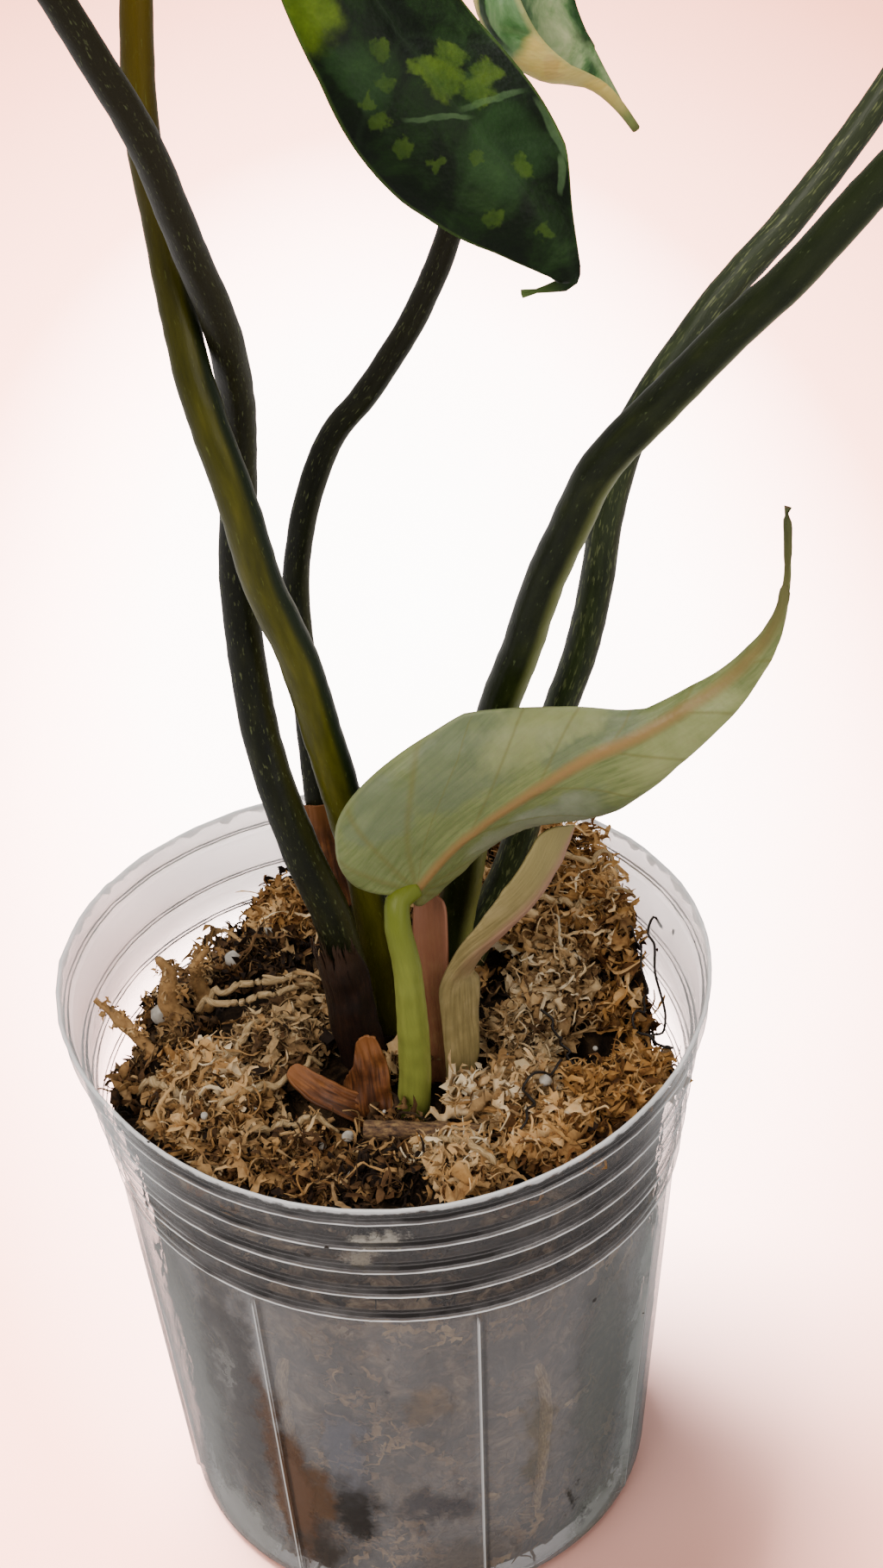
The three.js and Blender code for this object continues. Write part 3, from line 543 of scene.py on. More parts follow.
def veinRelief(veins):
    def relief(x, y, u, length):
        rib = np.exp(-(x / veins["ribWidth"]) ** 2) * (1 - 0.8 * np.clip(y / length, 0, 1))
        side = np.exp(-(veinDistance(veins, x, y) / veins["width"]) ** 2)
        fade = smoothstep(0, 6, np.hypot(x, y)) * (1 - smoothstep(0.88, 1, np.abs(u)))
        crease = noiseAt(np.column_stack([x, y, np.zeros(len(x))]), 0.09, 2)
        return -veins["ribDepth"] * rib - veins["depth"] * side * fade + veins["pucker"] * crease * fade
    return relief


def addBlade(name, leaf, upper, under, slotName, node, columns=84, rows=96):
    mesh = gridMesh(name, columns, rows, lambda u, v: leafPlaces(leaf, closerAtMidrib(u), v))
    piece = addPiece(name, mesh, upper, slotName, node)
    mesh.materials.append(under)
    skin = piece.modifiers.new("thickness", "SOLIDIFY")
    skin.thickness, skin.offset = leaf["thickness"] * mm, -1
    skin.material_offset = 1
    return piece


heartOutline = [[0.07, -0.17], [0.16, -0.25], [0.28, -0.25], [0.38, -0.16], [0.43, -0.02],
                [0.42, 0.16], [0.38, 0.34], [0.32, 0.51], [0.25, 0.64], [0.17, 0.75], [0.09, 0.83],
                [0.04, 0.89], [0.015, 0.95], [0, 1]]
youngOutline = [[0.03, -0.02], [0.09, -0.04], [0.15, -0.01], [0.19, 0.07], [0.195, 0.2],
                [0.16, 0.33], [0.125, 0.46], [0.1, 0.6], [0.06, 0.73], [0.02, 0.83],
                [0.007, 0.92], [0, 1]]
grownVeins = {
    "slope": 0.45,
    "bend": 0.006,
    "spacing": 19,
    "fan": 24,
    "width": 1.3,
    "depth": 0.5,
    "ribWidth": 1.6,
    "ribDepth": 0.7,
    "pucker": 0.7,
}
youngVeins = {
    "slope": 1.5,
    "bend": 0,
    "spacing": 14,
    "fan": 24,
    "width": 0.7,
    "depth": 0.22,
    "ribWidth": 1.4,
    "ribDepth": 0.5,
    "pucker": 0.25,
}

blades = {
    "a": {
        "spine": [[-58, -42, 352], [-74, -53, 357], [-98, -69, 348], [-118, -82, 326],
                  [-128, -88, 298], [-130, -89, 282]],
        "face": [[0.2, 0.1, 1], [-0.3, -0.3, 1], [-0.8, -0.6, 0.4]],
        "width": [[1, 1], [1, 1]],
        "fold": [0.16, 0.16],
        "curl": [-0.5, -0.5],
        "roll": [-0.3, -0.3],
        "wave": [2.2, 3],
    },
    "b": {
        "spine": [[-14, 10, 344], [-6, 6, 329], [10, 0, 301], [18, -5, 289], [26, -9, 279],
                  [32, -12, 270], [35.9, -12.6, 262], [35.6, -10.4, 259], [32, -8, 257.2],
                  [28.4, -6.5, 256.2]],
        "face": [[0.9, 0.1, 0.4], [0.8, -0.5, 0.35], [0.35, -0.9, 0.3]],
        "width": [[0.7, 0.7, 0.66, 0.58, 0.5, 0.52, 0.56, 0.3, 0.3],
                  [0.35, 0.3, 0.27, 0.4, 0.6, 0.74, 0.8]],
        "fold": [0.1, -0.5],
        "curl": [-0.8, -1.4],
        "roll": [0, -0.6],
        "wave": [0.8, 2.5],
    },
    "c": {
        "spine": [[31, 50, 352], [30.5, 44, 336], [31.5, 36, 314], [34.5, 30, 299],
                  [38.5, 25.5, 288], [44.5, 22.5, 279], [49.5, 20.5, 270]],
        "face": [[0.2, -0.5, 0.8], [0.2, -0.9, 0.3], [0.5, -0.8, 0.2]],
        "width": [[0.5, 0.4, 0.25, 0.15], [0.9, 0.95, 0.95, 0.95, 1, 2.1, 1.1]],
        "fold": [-0.2, 0],
        "curl": [-0.6, 0.2],
        "roll": [0, 3.3],
        "rollFrom": 0.42,
        "wave": [0.8, 2],
    },
    "d": {
        "spine": [[124, -42, 340], [137, -54, 347], [157, -75, 342], [172, -93, 322],
                  [180, -104, 296], [181, -107, 280]],
        "face": [[-0.2, 0.1, 1], [0.3, -0.3, 1], [0.6, -0.8, 0.4]],
        "width": [[1, 1], [1, 1]],
        "fold": [0.18, 0.18],
        "curl": [-0.5, -0.5],
        "roll": [-0.3, -0.3],
        "wave": [2.4, 3],
    },
    "e": {
        "spine": [[131, 51, 334], [145, 61, 342], [166, 79, 340], [184, 96, 322],
                  [194, 107, 298], [196, 110, 280]],
        "face": [[-0.1, -0.2, 1], [0.3, 0.2, 1], [0.8, 0.7, 0.4]],
        "width": [[1, 1], [1, 1]],
        "fold": [0.2, 0.2],
        "curl": [-0.45, -0.45],
        "roll": [-0.3, -0.3],
        "wave": [2, 3],
    },
    "young": {
        "spine": [[6.2, -14, 151.5], [14.1, -13, 160], [24.7, -12, 167.2], [36.5, -11, 173.4],
                  [45.2, -11, 177], [54, -11, 182.2], [61, -11, 187.5], [67, -12, 196],
                  [69.4, -12, 205], [68.8, -13, 220]],
        "face": [[-0.3, 0.9, 0.3], [-0.2, 0.95, 0.2], [0.2, 0.8, -0.3], [0.4, 0.6, -0.6],
                 [0.5, 0.55, -0.6], [0.5, 0.6, -0.5]],
        "width": [[0.8, 1.2, 0.62, 0.36, 0.3], [1.1, 1, 0.27, 0.22, 0.5]],
        "fold": [0.1, 0],
        "curl": [0.8, 0.5],
        "roll": [0.6, 0.8],
        "wave": [0.4, 3],
    },
}
for key, blade in blades.items():
    blade["outline"] = youngOutline if key == "young" else heartOutline
    blade["relief"] = veinRelief(youngVeins if key == "young" else grownVeins)
    blade["thickness"] = 0.7


def veinMask(tree, flat, veins, soft):  # 1 on the midrib and side veins, from the flat leaf's map
    across = addNode(tree, "SeparateXYZ", links={0: flat})
    away = addNode(tree, "Math", operation="ABSOLUTE", links={0: across})
    slant = addNode(tree, "Math", operation="MULTIPLY_ADD", links={0: away},
                    values={1: veins["bend"] * 100, 2: veins["slope"]})
    lean = addNode(tree, "Math", operation="MULTIPLY", links={0: away, 1: slant})
    start = addNode(tree, "Math", operation="SUBTRACT", links={0: across.outputs[1], 1: lean})
    pinnate = addNode(tree, "Math", operation="PINGPONG", links={0: start},
                      values={1: veins["spacing"] / 200})
    angle = addNode(tree, "Math", operation="ARCTAN2", links={0: away, 1: across.outputs[1]})
    sector = addNode(tree, "Math", operation="PINGPONG", links={0: angle},
                     values={1: math.radians(veins["fan"]) / 2})
    radius = addNode(tree, "VectorMath", operation="LENGTH", links={0: flat}).outputs["Value"]
    fanned = addNode(tree, "Math", operation="MULTIPLY", links={0: sector, 1: radius})
    pinnateZone = addNode(tree, "Math", operation="GREATER_THAN", values={1: 0}, links={0: start})
    nearest = addNode(tree, "Mix", data_type="FLOAT", links={0: pinnateZone, 2: fanned, 3: pinnate})
    masks = []
    for distance, half, strength in ((nearest, veins["width"], 0.8), (away, veins["ribWidth"], 1)):
        masks.append(addNode(tree, "MapRange", interpolation_type="SMOOTHSTEP", links={0: distance},
                             values={1: 0, 2: half * soft / 100, 3: strength, 4: 0}))
    return strongest(tree, masks), masks[1]


def blotchMask(tree, flat, blotches, edge, grain):
    # Soft-edged blocks: x, y, half width and half length in mm, and a turn in degrees
    moved = raggedPlace(tree, flat, (edge, edge), grain, 3, 0.6)
    masks = []
    for x, y, across, along, turned in blotches:
        centred = addNode(tree, "VectorMath", operation="SUBTRACT",
                          values={1: (x / 100, y / 100, 0)}, links={0: moved})
        spun = addNode(tree, "VectorRotate", rotation_type="Z_AXIS",
                       values={"Angle": math.radians(-turned)}, links={"Vector": centred})
        scaled = addNode(tree, "VectorMath", operation="MULTIPLY",
                         values={1: (100 / across, 100 / along, 0)}, links={0: spun})
        square = addNode(tree, "VectorMath", operation="MULTIPLY", links={0: scaled, 1: scaled})
        away = addNode(tree, "VectorMath", operation="LENGTH", links={0: square}).outputs["Value"]
        masks.append(addNode(tree, "MapRange", interpolation_type="SMOOTHSTEP",
                             values={1: 0.45, 2: 1.4, 3: 1, 4: 0}, links={0: away}))
    return strongest(tree, masks)


def livingBlade(name, look):
    # A waxy leaf skin: soft sheen, blotched colour, paler veins and a fine pebbled surface
    material, tree, shader = newMaterial(name, look["roughness"])
    flat = addNode(tree, "UVMap", uv_map="flat")
    cloudValues = {"Scale": look["cloudScale"], "Detail": 5, "Roughness": 0.62, "Distortion": 0.6}
    cloud = addNode(tree, "TexNoise", links={"Vector": flat}, values=cloudValues).outputs["Fac"]
    colour = addNode(tree, "ValToRGB", links={0: cloud}, stops=look["base"])
    if "fibres" in look:  # faint lines that run with the side veins, about 1.2 mm apart
        lines = addNode(tree, "Mapping", links={"Vector": flat},
                        values={"Scale": look["fibres"], "Rotation": (0, 0, 0.7)})
        hair = addNode(tree, "TexNoise", links={"Vector": lines},
                       values={"Scale": 9, "Detail": 4, "Roughness": 0.7}).outputs["Fac"]
        dark = addNode(tree, "MapRange", values={1: 0.38, 2: 0.66, 3: 0, 4: 0.75}, links={0: hair})
        colour = addNode(tree, "Mix", data_type="RGBA", values={7: linear(look["fibreColour"])},
                         links={0: dark, 6: colour}).outputs[2]
    for layer in look["layers"]:
        spots = blotchMask(tree, flat, layer["spots"], layer.get("edge", 0.06), layer.get("grain", 14))
        mottled = addNode(tree, "TexNoise", links={"Vector": flat},
                          values={"Scale": 25, "Detail": 4, "Roughness": 0.6}).outputs["Fac"]
        paint = addNode(tree, "ValToRGB", links={0: mottled}, stops=layer["stops"])
        amount = addNode(tree, "Math", operation="MULTIPLY", values={1: layer.get("strength", 1)},
                         links={0: spots})
        colour = addNode(tree, "Mix", data_type="RGBA", links={0: amount, 6: colour, 7: paint}).outputs[2]
    veins, rib = veinMask(tree, flat, look["veins"], look["veinSoft"])
    veins = addNode(tree, "Math", operation="MULTIPLY", values={1: look["veinStrength"]}, links={0: veins})
    part = addNode(tree, "SeparateXYZ", links={0: addNode(tree, "UVMap", uv_map="span")})
    fade = addNode(tree, "MapRange", values={1: 0.4, 2: 0.8, 3: 1, 4: 0.25},
                   links={0: part.outputs[1]})  # the midrib fades towards the tip
    rib = addNode(tree, "Math", operation="MULTIPLY", links={0: rib, 1: fade})
    side = addNode(tree, "Math", operation="ABSOLUTE", links={0: part})
    rim = addNode(tree, "MapRange", links={0: side},
                  values={1: 0.955, 2: 0.985, 3: 0, 4: look["rimStrength"]})
    tip = addNode(tree, "MapRange", values={1: look["tipFrom"], 2: 1, 3: 0, 4: 1}, links={0: part.outputs[1]})
    for tint, amount in (("veinColour", veins), ("ribColour", rib), ("rim", rim), ("tip", tip)):
        if tint in look:
            colour = addNode(tree, "Mix", data_type="RGBA", values={7: linear(look[tint])},
                             links={0: amount, 6: colour}).outputs[2]
    pebble = addNode(tree, "TexVoronoi", links={"Vector": flat}, values={"Scale": 130}).outputs["Distance"]
    bump = addNode(tree, "Bump", values={"Strength": look["pebble"], "Distance": 0.0002},
                   links={"Height": pebble})
    shine = addNode(tree, "MapRange", links={0: cloud},
                    values={1: 0.3, 2: 0.7, 3: look["roughness"] - 0.06, 4: look["roughness"] + 0.08})
    connect(tree, shader, {"Base Color": colour, "Roughness": shine, "Normal": bump})
    shader.inputs["Subsurface Weight"].default_value = look["glow"]
    shader.inputs["Subsurface Radius"].default_value = (0.3, 1, 0.15)
    shader.inputs["Subsurface Scale"].default_value = 0.0012
    shader.inputs["Specular IOR Level"].default_value = look["sheen"]
    return material


lime = [(0.3, "#40591a"), (0.7, "#63801f")]
darkUpper = {
    "base": [(0.3, "#0b1808"), (0.46, "#14280d"), (0.58, "#244219"), (0.7, "#3f6130")],
    "cloudScale": 10,
    "layers": [{"spots": [[-30, 20, 9, 14, 0], [22, 40, 7, 5, 30], [-12, 62, 6, 9, 0], [30, 8, 10, 8, 0],
                          [-24, -10, 7, 5, 0], [10, 70, 3, 4, 0], [-36, 44, 3, 4, 0], [14, 14, 3, 2, 0]],
                "edge": 0.11, "stops": lime}],
    "veins": grownVeins,
    "veinSoft": 0.8,
    "veinStrength": 0.32,
    "veinColour": "#56784a",
    "rim": "#5c7a34",
    "rimStrength": 0.6,
    "tip": "#6c8444",
    "tipFrom": 0.93,
    "roughness": 0.42,
    "pebble": 0.35,
    "glow": 0.05,
    "sheen": 0.45,
}
bladeLooks = {
    "darkUpper": darkUpper,
    "hangingUpper": {
        **darkUpper,
        "base": [(0.3, "#071005"), (0.46, "#0e1c07"), (0.58, "#19300f"), (0.7, "#2c461e")],
        "roughness": 0.5,
        "sheen": 0.25,
        "layers": [
            # A weak pale green patch round (-2, 79) and (9, 58): painted sheen
            {"spots": [[-2, 79, 7, 6, 0], [9, 58, 3, 5, 0]], "strength": 0.35,
             "stops": [(0.3, "#2c4f24"), (0.7, "#3a5f30")]},
            {"spots": [[-1.5, 65.2, 3.4, 3.2, 0], [-5.8, 63, 3, 2.4, 0], [-4.8, 70, 2.8, 2.3, 0],
                       [-9, 68.6, 2.6, 2.2, 0], [0.4, 62.6, 2, 2, 0]],
             "edge": 0.04, "grain": 40, "strength": 0.75, "stops": [(0.3, "#385416"), (0.7, "#5f7a20")]},
            {"spots": [[12, 42, 6.5, 9.5, 0]], "edge": 0.05, "grain": 30,
             "stops": [(0.3, "#465e0c"), (0.7, "#6c8617")]},
            {"spots": [[4.3, 56.8, 1.5, 1.4, 0], [10, 61.5, 1, 0.9, 0], [10.2, 64.4, 1.3, 1.1, 0],
                       [10, 69.2, 1.3, 1.2, 0], [6.6, 61, 1.1, 1.3, 0], [-2, 82, 1.3, 1.9, 0],
                       [6.2, 85.3, 1.4, 1.2, 0], [0.8, 91.4, 1, 1.4, 0], [7.5, 73.5, 1.2, 0.9, 0],
                       [2.6, 76.6, 1, 0.8, 0]],
             "edge": 0.035, "grain": 50, "strength": 0.62, "stops": [(0.3, "#334e16"), (0.7, "#54701d")]},
            {"spots": [[-6, 72.4, 6, 0.55, -20], [3.4, 69, 5, 0.4, -36], [-10.6, 81.5, 0.7, 5, -20],
                       [-6.6, 86.6, 0.6, 3, -48]],
             "edge": 0.02, "strength": 0.4, "stops": [(0.3, "#547549"), (0.7, "#6f8e5c")]},
        ],
        "veinStrength": 0.06,
    },
    "darkUnder": {
        **darkUpper,
        "base": [(0.25, "#3a5230"), (0.5, "#486239"), (0.75, "#5a7646")],
        "layers": [],
        "veinSoft": 1.2,
        "veinStrength": 0.6,
        "veinColour": "#7f9564",
        "tip": "#7e8f4e",
        "roughness": 0.5,
    },
    "creamUpper": {
        **darkUpper,
        "base": [(0.3, "#143010"), (0.42, "#2b5222"), (0.5, "#587c48"), (0.58, "#8fa670"), (0.72, "#c8cd9a")],
        "cloudScale": 11,
        "layers": [{"spots": [[-8, 74, 6, 9, 0], [30, 30, 8, 14, 10], [-26, 12, 9, 12, 0]],
                    "stops": [(0.3, "#183a14"), (0.7, "#2c5226")]}],
        "veinStrength": 0.3,
        "veinColour": "#a9b788",
        "rim": "#1c3416",
        "tip": "#b3b070",
        "glow": 0.08,
    },
    "creamUnder": {
        **darkUpper,
        "base": [(0.3, "#2b5424"), (0.45, "#4f7a42"), (0.55, "#6f9560"), (0.7, "#a3ba86")],
        "cloudScale": 12,
        "layers": [
            # A thin dark line beside the cream patch: painted shadow
            {"spots": [[17.2, 65, 0.7, 5, 0]], "edge": 0.01, "stops": [(0.3, "#152b12"), (0.7, "#243f1c")]},
            {"spots": [[13.6, 60, 2.6, 9, 0], [19, 73.6, 7, 2.9, -8], [11, 78, 7, 4, -30],
                       [4, 84, 4, 7, -20], [-20, 40, 12, 22, 0]],
             "edge": 0.02, "stops": [(0.3, "#efcd66"), (0.7, "#ffe78c")]},
            {"spots": [[16, 74.6, 4, 0.7, -20]], "edge": 0.02, "strength": 0.35,
             "stops": [(0.3, "#cf9a5e"), (0.7, "#ddb27a")]},
        ],
        "veinStrength": 0.1,
        "veinColour": "#b9c08a",
        "rim": "#c9c078",
        "tip": "#8f9450",
        "tipFrom": 0.9,
        "roughness": 0.45,
        "glow": 0.1,
    },
    "youngUnder": {
        **darkUpper,
        "base": [(0.25, "#747f53"), (0.5, "#8b955e"), (0.75, "#a9ac70")],
        "cloudScale": 4.5,
        "layers": [
            {"spots": [[12, 22, 7, 9, 20], [15, 9, 5, 5, 40], [-9, 30, 5, 9, 0], [4, 40, 4, 9, 0]],
             "edge": 0.12, "strength": 0.5, "stops": [(0.3, "#62705a"), (0.7, "#79856c")]},
            {"spots": [[9, 34, 5, 10, 0], [-6, 56, 6, 12, 0]], "edge": 0.1, "strength": 0.6,
             "stops": [(0.3, "#9ba268"), (0.7, "#b2b67c")]},
            # A whitish patch at (-10, 22): painted sheen
            {"spots": [[-10, 22, 6, 14, 0]], "edge": 0.1, "strength": 0.7,
             "stops": [(0.3, "#8e977c"), (0.7, "#a8ae92")]},
        ],
        "veins": youngVeins,
        "veinSoft": 1.15,
        "veinStrength": 0.6,
        "veinColour": "#77743a",
        "ribColour": "#a5834f",
        "fibres": (14, 1.2, 1),
        "fibreColour": "#66743f",
        "rim": "#a9b07c",
        "rimStrength": 0.5,
        "tip": "#4d552c",
        "tipFrom": 0.72,
        "roughness": 0.42,
        "pebble": 0.18,
        "glow": 0.12,
    },
    "youngUpper": {
        **darkUpper,
        "base": [(0.25, "#5a7a32"), (0.5, "#72903f"), (0.75, "#94a758")],
        "cloudScale": 4,
        "layers": [],
        "veins": youngVeins,
        "veinSoft": 1.2,
        "veinStrength": 0.5,
        "veinColour": "#a3b06a",
        "rim": "#a3b06a",
        "tip": "#5c4a2a",
        "tipFrom": 0.9,
        "roughness": 0.35,
        "pebble": 0.2,
        "glow": 0.1,
    },
}


# Stalks: round, slightly waxy, streaked along their length

stalks = {
    "a": {
        "radii": [3.7, 3, 1.9],
        "points": [[-1, -6, 94], [-4.5, -6, 106], [-5.6, -6, 121], [-8.2, -5, 138.5],
                   [-13.3, -3, 155.5], [-17.6, 2, 174], [-19, 7, 201], [-17.3, 8, 219.5],
                   [-16, 4, 238], [-17, -3.6, 254], [-19.9, -9, 267.7], [-24.2, -18, 288.8],
                   [-28.5, -23, 301.4], [-36, -29, 320], [-47, -36, 340], [-58, -42, 352]],
    },
    "b": {
        "radii": [3.7, 3.25, 2],
        "points": [[2, 2, 94], [0.4, 3, 109], [-1.3, 2, 137.5], [-3.2, 1, 151.5], [-7.1, -2, 176],
                   [-10.2, -4, 194], [-14.4, -6, 209], [-17.1, -7, 225], [-21.3, -4, 242.5],
                   [-23.3, 0.3, 255], [-24.6, 4, 267], [-25.8, 6, 280], [-24.5, 8, 300],
                   [-21, 11, 322], [-14, 10, 344]],
    },
    "c": {
        "radii": [2.7, 2.3, 1.7],
        "points": [[2, 12, 94], [-3.5, 12.5, 108], [-6.7, 15, 124], [-8.8, 19, 137.5],
                   [-9.6, 22, 147], [-10, 26, 160], [-10.3, 30, 173], [-10.4, 33, 183],
                   [-9.7, 34, 189], [-6.8, 35, 201], [-1.7, 36, 212.5], [5, 35, 221],
                   [14.4, 33, 236.5], [21, 31, 253], [27, 34, 275], [31, 40, 302],
                   [32, 47, 330], [31, 50, 352]],
    },
    "d": {
        "radii": [3.6, 3.3, 2.3],
        "points": [[8, 8, 94], [11.8, 9, 112], [13.8, 8, 126.5], [15.9, 6, 139], [19.3, 4, 161],
                   [22.7, 3, 174.7], [27, 2, 187], [31.2, 0, 201.6], [35.7, -2, 213.4],
                   [40.3, -4, 224.3], [48.5, -8, 236], [61.6, -15, 254], [67.1, -18, 261],
                   [78.5, -24, 278], [94, -32, 300], [110, -38, 322], [124, -42, 340]],
    },
    "e": {
        "radii": [3.2, 2.9, 2],
        "points": [[10, 18, 94], [14.5, 18, 104], [19.9, 18, 118], [24.6, 18, 129],
                   [30.8, 18, 150], [34.7, 18, 163.5], [38.8, 18, 175.6], [41.9, 18, 190],
                   [43.5, 18, 201], [45.7, 19, 210], [48.9, 21, 218], [60, 27, 231.5],
                   [67.6, 31, 239], [76.7, 35, 246.6], [92.5, 40, 265], [108, 45, 288],
                   [122, 49, 312], [131, 51, 334]],
    },
    "young": {
        "radii": [3.1, 2.8, 2.1],
        "points": [[2.6, -20, 94], [3.4, -22, 109], [4, -22, 117], [4.2, -21, 130],
                   [3.9, -20, 139.5], [2.9, -18.4, 147], [3.4, -16.2, 150.6], [6.2, -14, 151.5]],
    },
}


def tubeShape(points, radii, bumps=0.0, seed=0, flutes=0.0):
    # A round tube along a path. Angle 0 of its map faces +X and a quarter turn faces the front.
    spine, length = byLength(curveThrough(points))
    tangents = unit(np.gradient(spine, axis=0))

    def shape(u, v):
        centre = readCurve(spine, v)
        along = unit(readCurve(tangents, v))
        front = np.cross(along, [1.0, 0, 0])
        level = np.linalg.norm(front, axis=1) < 0.3
        front[level] = np.cross(along[level], [0, 0, 1.0])
        front = unit(front)
        side = np.cross(front, along)
        angle = u * math.pi
        radius = readEvenly(radii, v) * (1 + flutes * np.cos(5 * angle + seed))
        if bumps:
            radius = radius * (1 + bumps * noiseAt(centre + side * 2 * np.cos(angle)[:, None], 0.35, seed))
        places = centre + side * (np.cos(angle) * radius)[:, None]
        places -= front * (np.sin(angle) * radius)[:, None]
        maps = {"flat": np.column_stack([(u + 1) / 2, v * length / 100])}
        return places, maps
    return shape


def freshStalk(name, look):
    # A living stalk: glossy skin, fine pale streaks 0.3 mm wide and some mm long, one side painted lighter as
    # painted light, darker as painted shade on the olive stalk
    material, tree, shader = newMaterial(name, look["roughness"])
    part = addNode(tree, "SeparateXYZ", links={0: addNode(tree, "UVMap", uv_map="flat")})
    turned = addNode(tree, "Math", operation="MULTIPLY", values={1: 2 * math.pi}, links={0: part})
    east = addNode(tree, "Math", operation="COSINE", links={0: turned})
    north = addNode(tree, "Math", operation="SINE", links={0: turned})
    height = addNode(tree, "Math", operation="MULTIPLY", values={1: look["alongScale"]},
                     links={0: part.outputs[1]})
    skin = addNode(tree, "CombineXYZ", links={0: east, 1: north, 2: height})
    streak = addNode(tree, "TexNoise", links={"Vector": skin},
                     values={"Scale": 7, "Detail": 3, "Roughness": 0.55}).outputs["Fac"]
    fleck = addNode(tree, "MapRange", links={0: streak},
                    values={1: look["streakFrom"], 2: look["streakFrom"] + 0.1, 3: 0, 4: look["streaks"]})
    slow = addNode(tree, "TexNoise", links={"Vector": skin}, values={"Scale": 1.6, "Detail": 3})
    colour = addNode(tree, "ValToRGB", links={0: slow.outputs["Fac"]}, stops=look["base"])
    # The side with painted light, painted shade on the olive stalk, sits round a chosen angle of the stalk
    facing = addNode(tree, "VectorMath", operation="DOT_PRODUCT", links={0: skin},
                     values={1: (-math.cos(look["paintedSideAngle"]), -math.sin(look["paintedSideAngle"]), 0)})
    paintedSideMask = addNode(tree, "MapRange", interpolation_type="SMOOTHSTEP",
                     values={1: look["paintedSideFrom"], 2: 1, 3: 0, 4: 1}, links={0: facing.outputs["Value"]})
    tall = addNode(tree, "MapRange", interpolation_type="SMOOTHSTEP", links={0: part.outputs[1]},
                   values={1: look["topFrom"] / 100, 2: look["topTo"] / 100, 3: 0, 4: 1})
    for tint, amount in (("tint", paintedSideMask), ("top", tall), ("streak", fleck)):
        colour = addNode(tree, "Mix", data_type="RGBA", values={7: linear(look[tint])},
                         links={0: amount, 6: colour}).outputs[2]
    bump = addNode(tree, "Bump", values={"Strength": 0.25, "Distance": 0.0003}, links={"Height": streak})
    connect(tree, shader, {"Base Color": colour, "Normal": bump})
    shader.inputs["Specular IOR Level"].default_value = 0.3
    return material


darkStalk = {
    "base": [(0.3, "#12150a"), (0.6, "#1e210f"), (0.8, "#2e3017")],
    "roughness": 0.4,
    "alongScale": 9,  # more makes the streaks shorter
    "streakFrom": 0.6,
    "streaks": 0.6,
    "streak": "#747c50",
    "tint": "#3a3a1a",
    "paintedSideAngle": 0.3,
    "paintedSideFrom": 0.55,
    "top": "#2c2714",
    "topFrom": 90,  # mm along the stalk
    "topTo": 220,
}
stalkLooks = {
    "dark": darkStalk,
    "olive": {
        "base": [(0.3, "#45440e"), (0.6, "#5b5913"), (0.8, "#70691d")],
        "roughness": 0.34,
        "alongScale": 6,
        "streakFrom": 0.64,
        "streaks": 0.4,
        "streak": "#8b9446",
        "tint": "#1d2814",
        "paintedSideAngle": 0.55,
        "paintedSideFrom": 0.82,
        "top": "#6f590b",
        "topFrom": 150,
        "topTo": 235,
    },
    "split": {
        "base": [(0.3, "#141a08"), (0.6, "#22290e"), (0.8, "#333818")],
        "roughness": 0.34,
        "alongScale": 9,
        "streakFrom": 0.64,
        "streaks": 0.45,
        "streak": "#66744a",
        "tint": "#858b46",
        "paintedSideAngle": 0.25,
        "paintedSideFrom": 0.3,
        "top": "#2a341c",
        "topFrom": 150,
        "topTo": 240,
    },
    "young": {
        "base": [(0.3, "#788037"), (0.6, "#8a9240"), (0.8, "#9da352")],
        "roughness": 0.38,
        "alongScale": 6,
        "streakFrom": 0.7,
        "streaks": 0.5,
        "streak": "#5f6420",
        "tint": "#a3ab50",
        "paintedSideAngle": 3.6,
        "paintedSideFrom": 0.3,
        "top": "#6c7722",
        "topFrom": 40,
        "topTo": 58,
    },
    "flecked": {
        **darkStalk,
        "base": [(0.3, "#232a1b"), (0.6, "#3a4429"), (0.8, "#566040")],
        "alongScale": 5,
        "streakFrom": 0.56,
        "streaks": 0.85,
        "top": "#38402a",
    },
}


def makeStalks():
    finishes = {key: freshStalk(f"{key}Stalk", look) for key, look in stalkLooks.items()}
    chosen = {"b": ("olive", "olive_stalk"), "d": ("split", "dark_stalk"), "e": ("flecked", "dark_stalk"),
              "young": ("young", "young_stalk")}
    for key, stalk in stalks.items():
        look, slotName = chosen.get(key, ("dark", "dark_stalk"))
        seed = len(key) + ord(key[0])
        shape = tubeShape(stalk["points"], stalk["radii"], bumps=0.05, seed=seed, flutes=0.012)
        mesh = gridMesh(f"stalk-{key}", 32, 140, shape, weld=True)
        addPiece(f"stalk-{key}", mesh, finishes[look], slotName, f"petiole_{key}")


def makeBlades():
    finishes = {key: livingBlade(f"{key}Blade", look) for key, look in bladeLooks.items()}
    chosen = {"b": ("hangingUpper", "darkUnder", "dark_blade"),
              "c": ("creamUpper", "creamUnder", "cream_blade"),
              "young": ("youngUpper", "youngUnder", "young_blade")}
    for key, blade in blades.items():
        upper, under, slotName = chosen.get(key, ("darkUpper", "darkUnder", "dark_blade"))
        addBlade(f"blade-{key}", blade, finishes[upper], finishes[under], slotName, f"blade_{key}")


# Bracts and dried sheaths round the crown

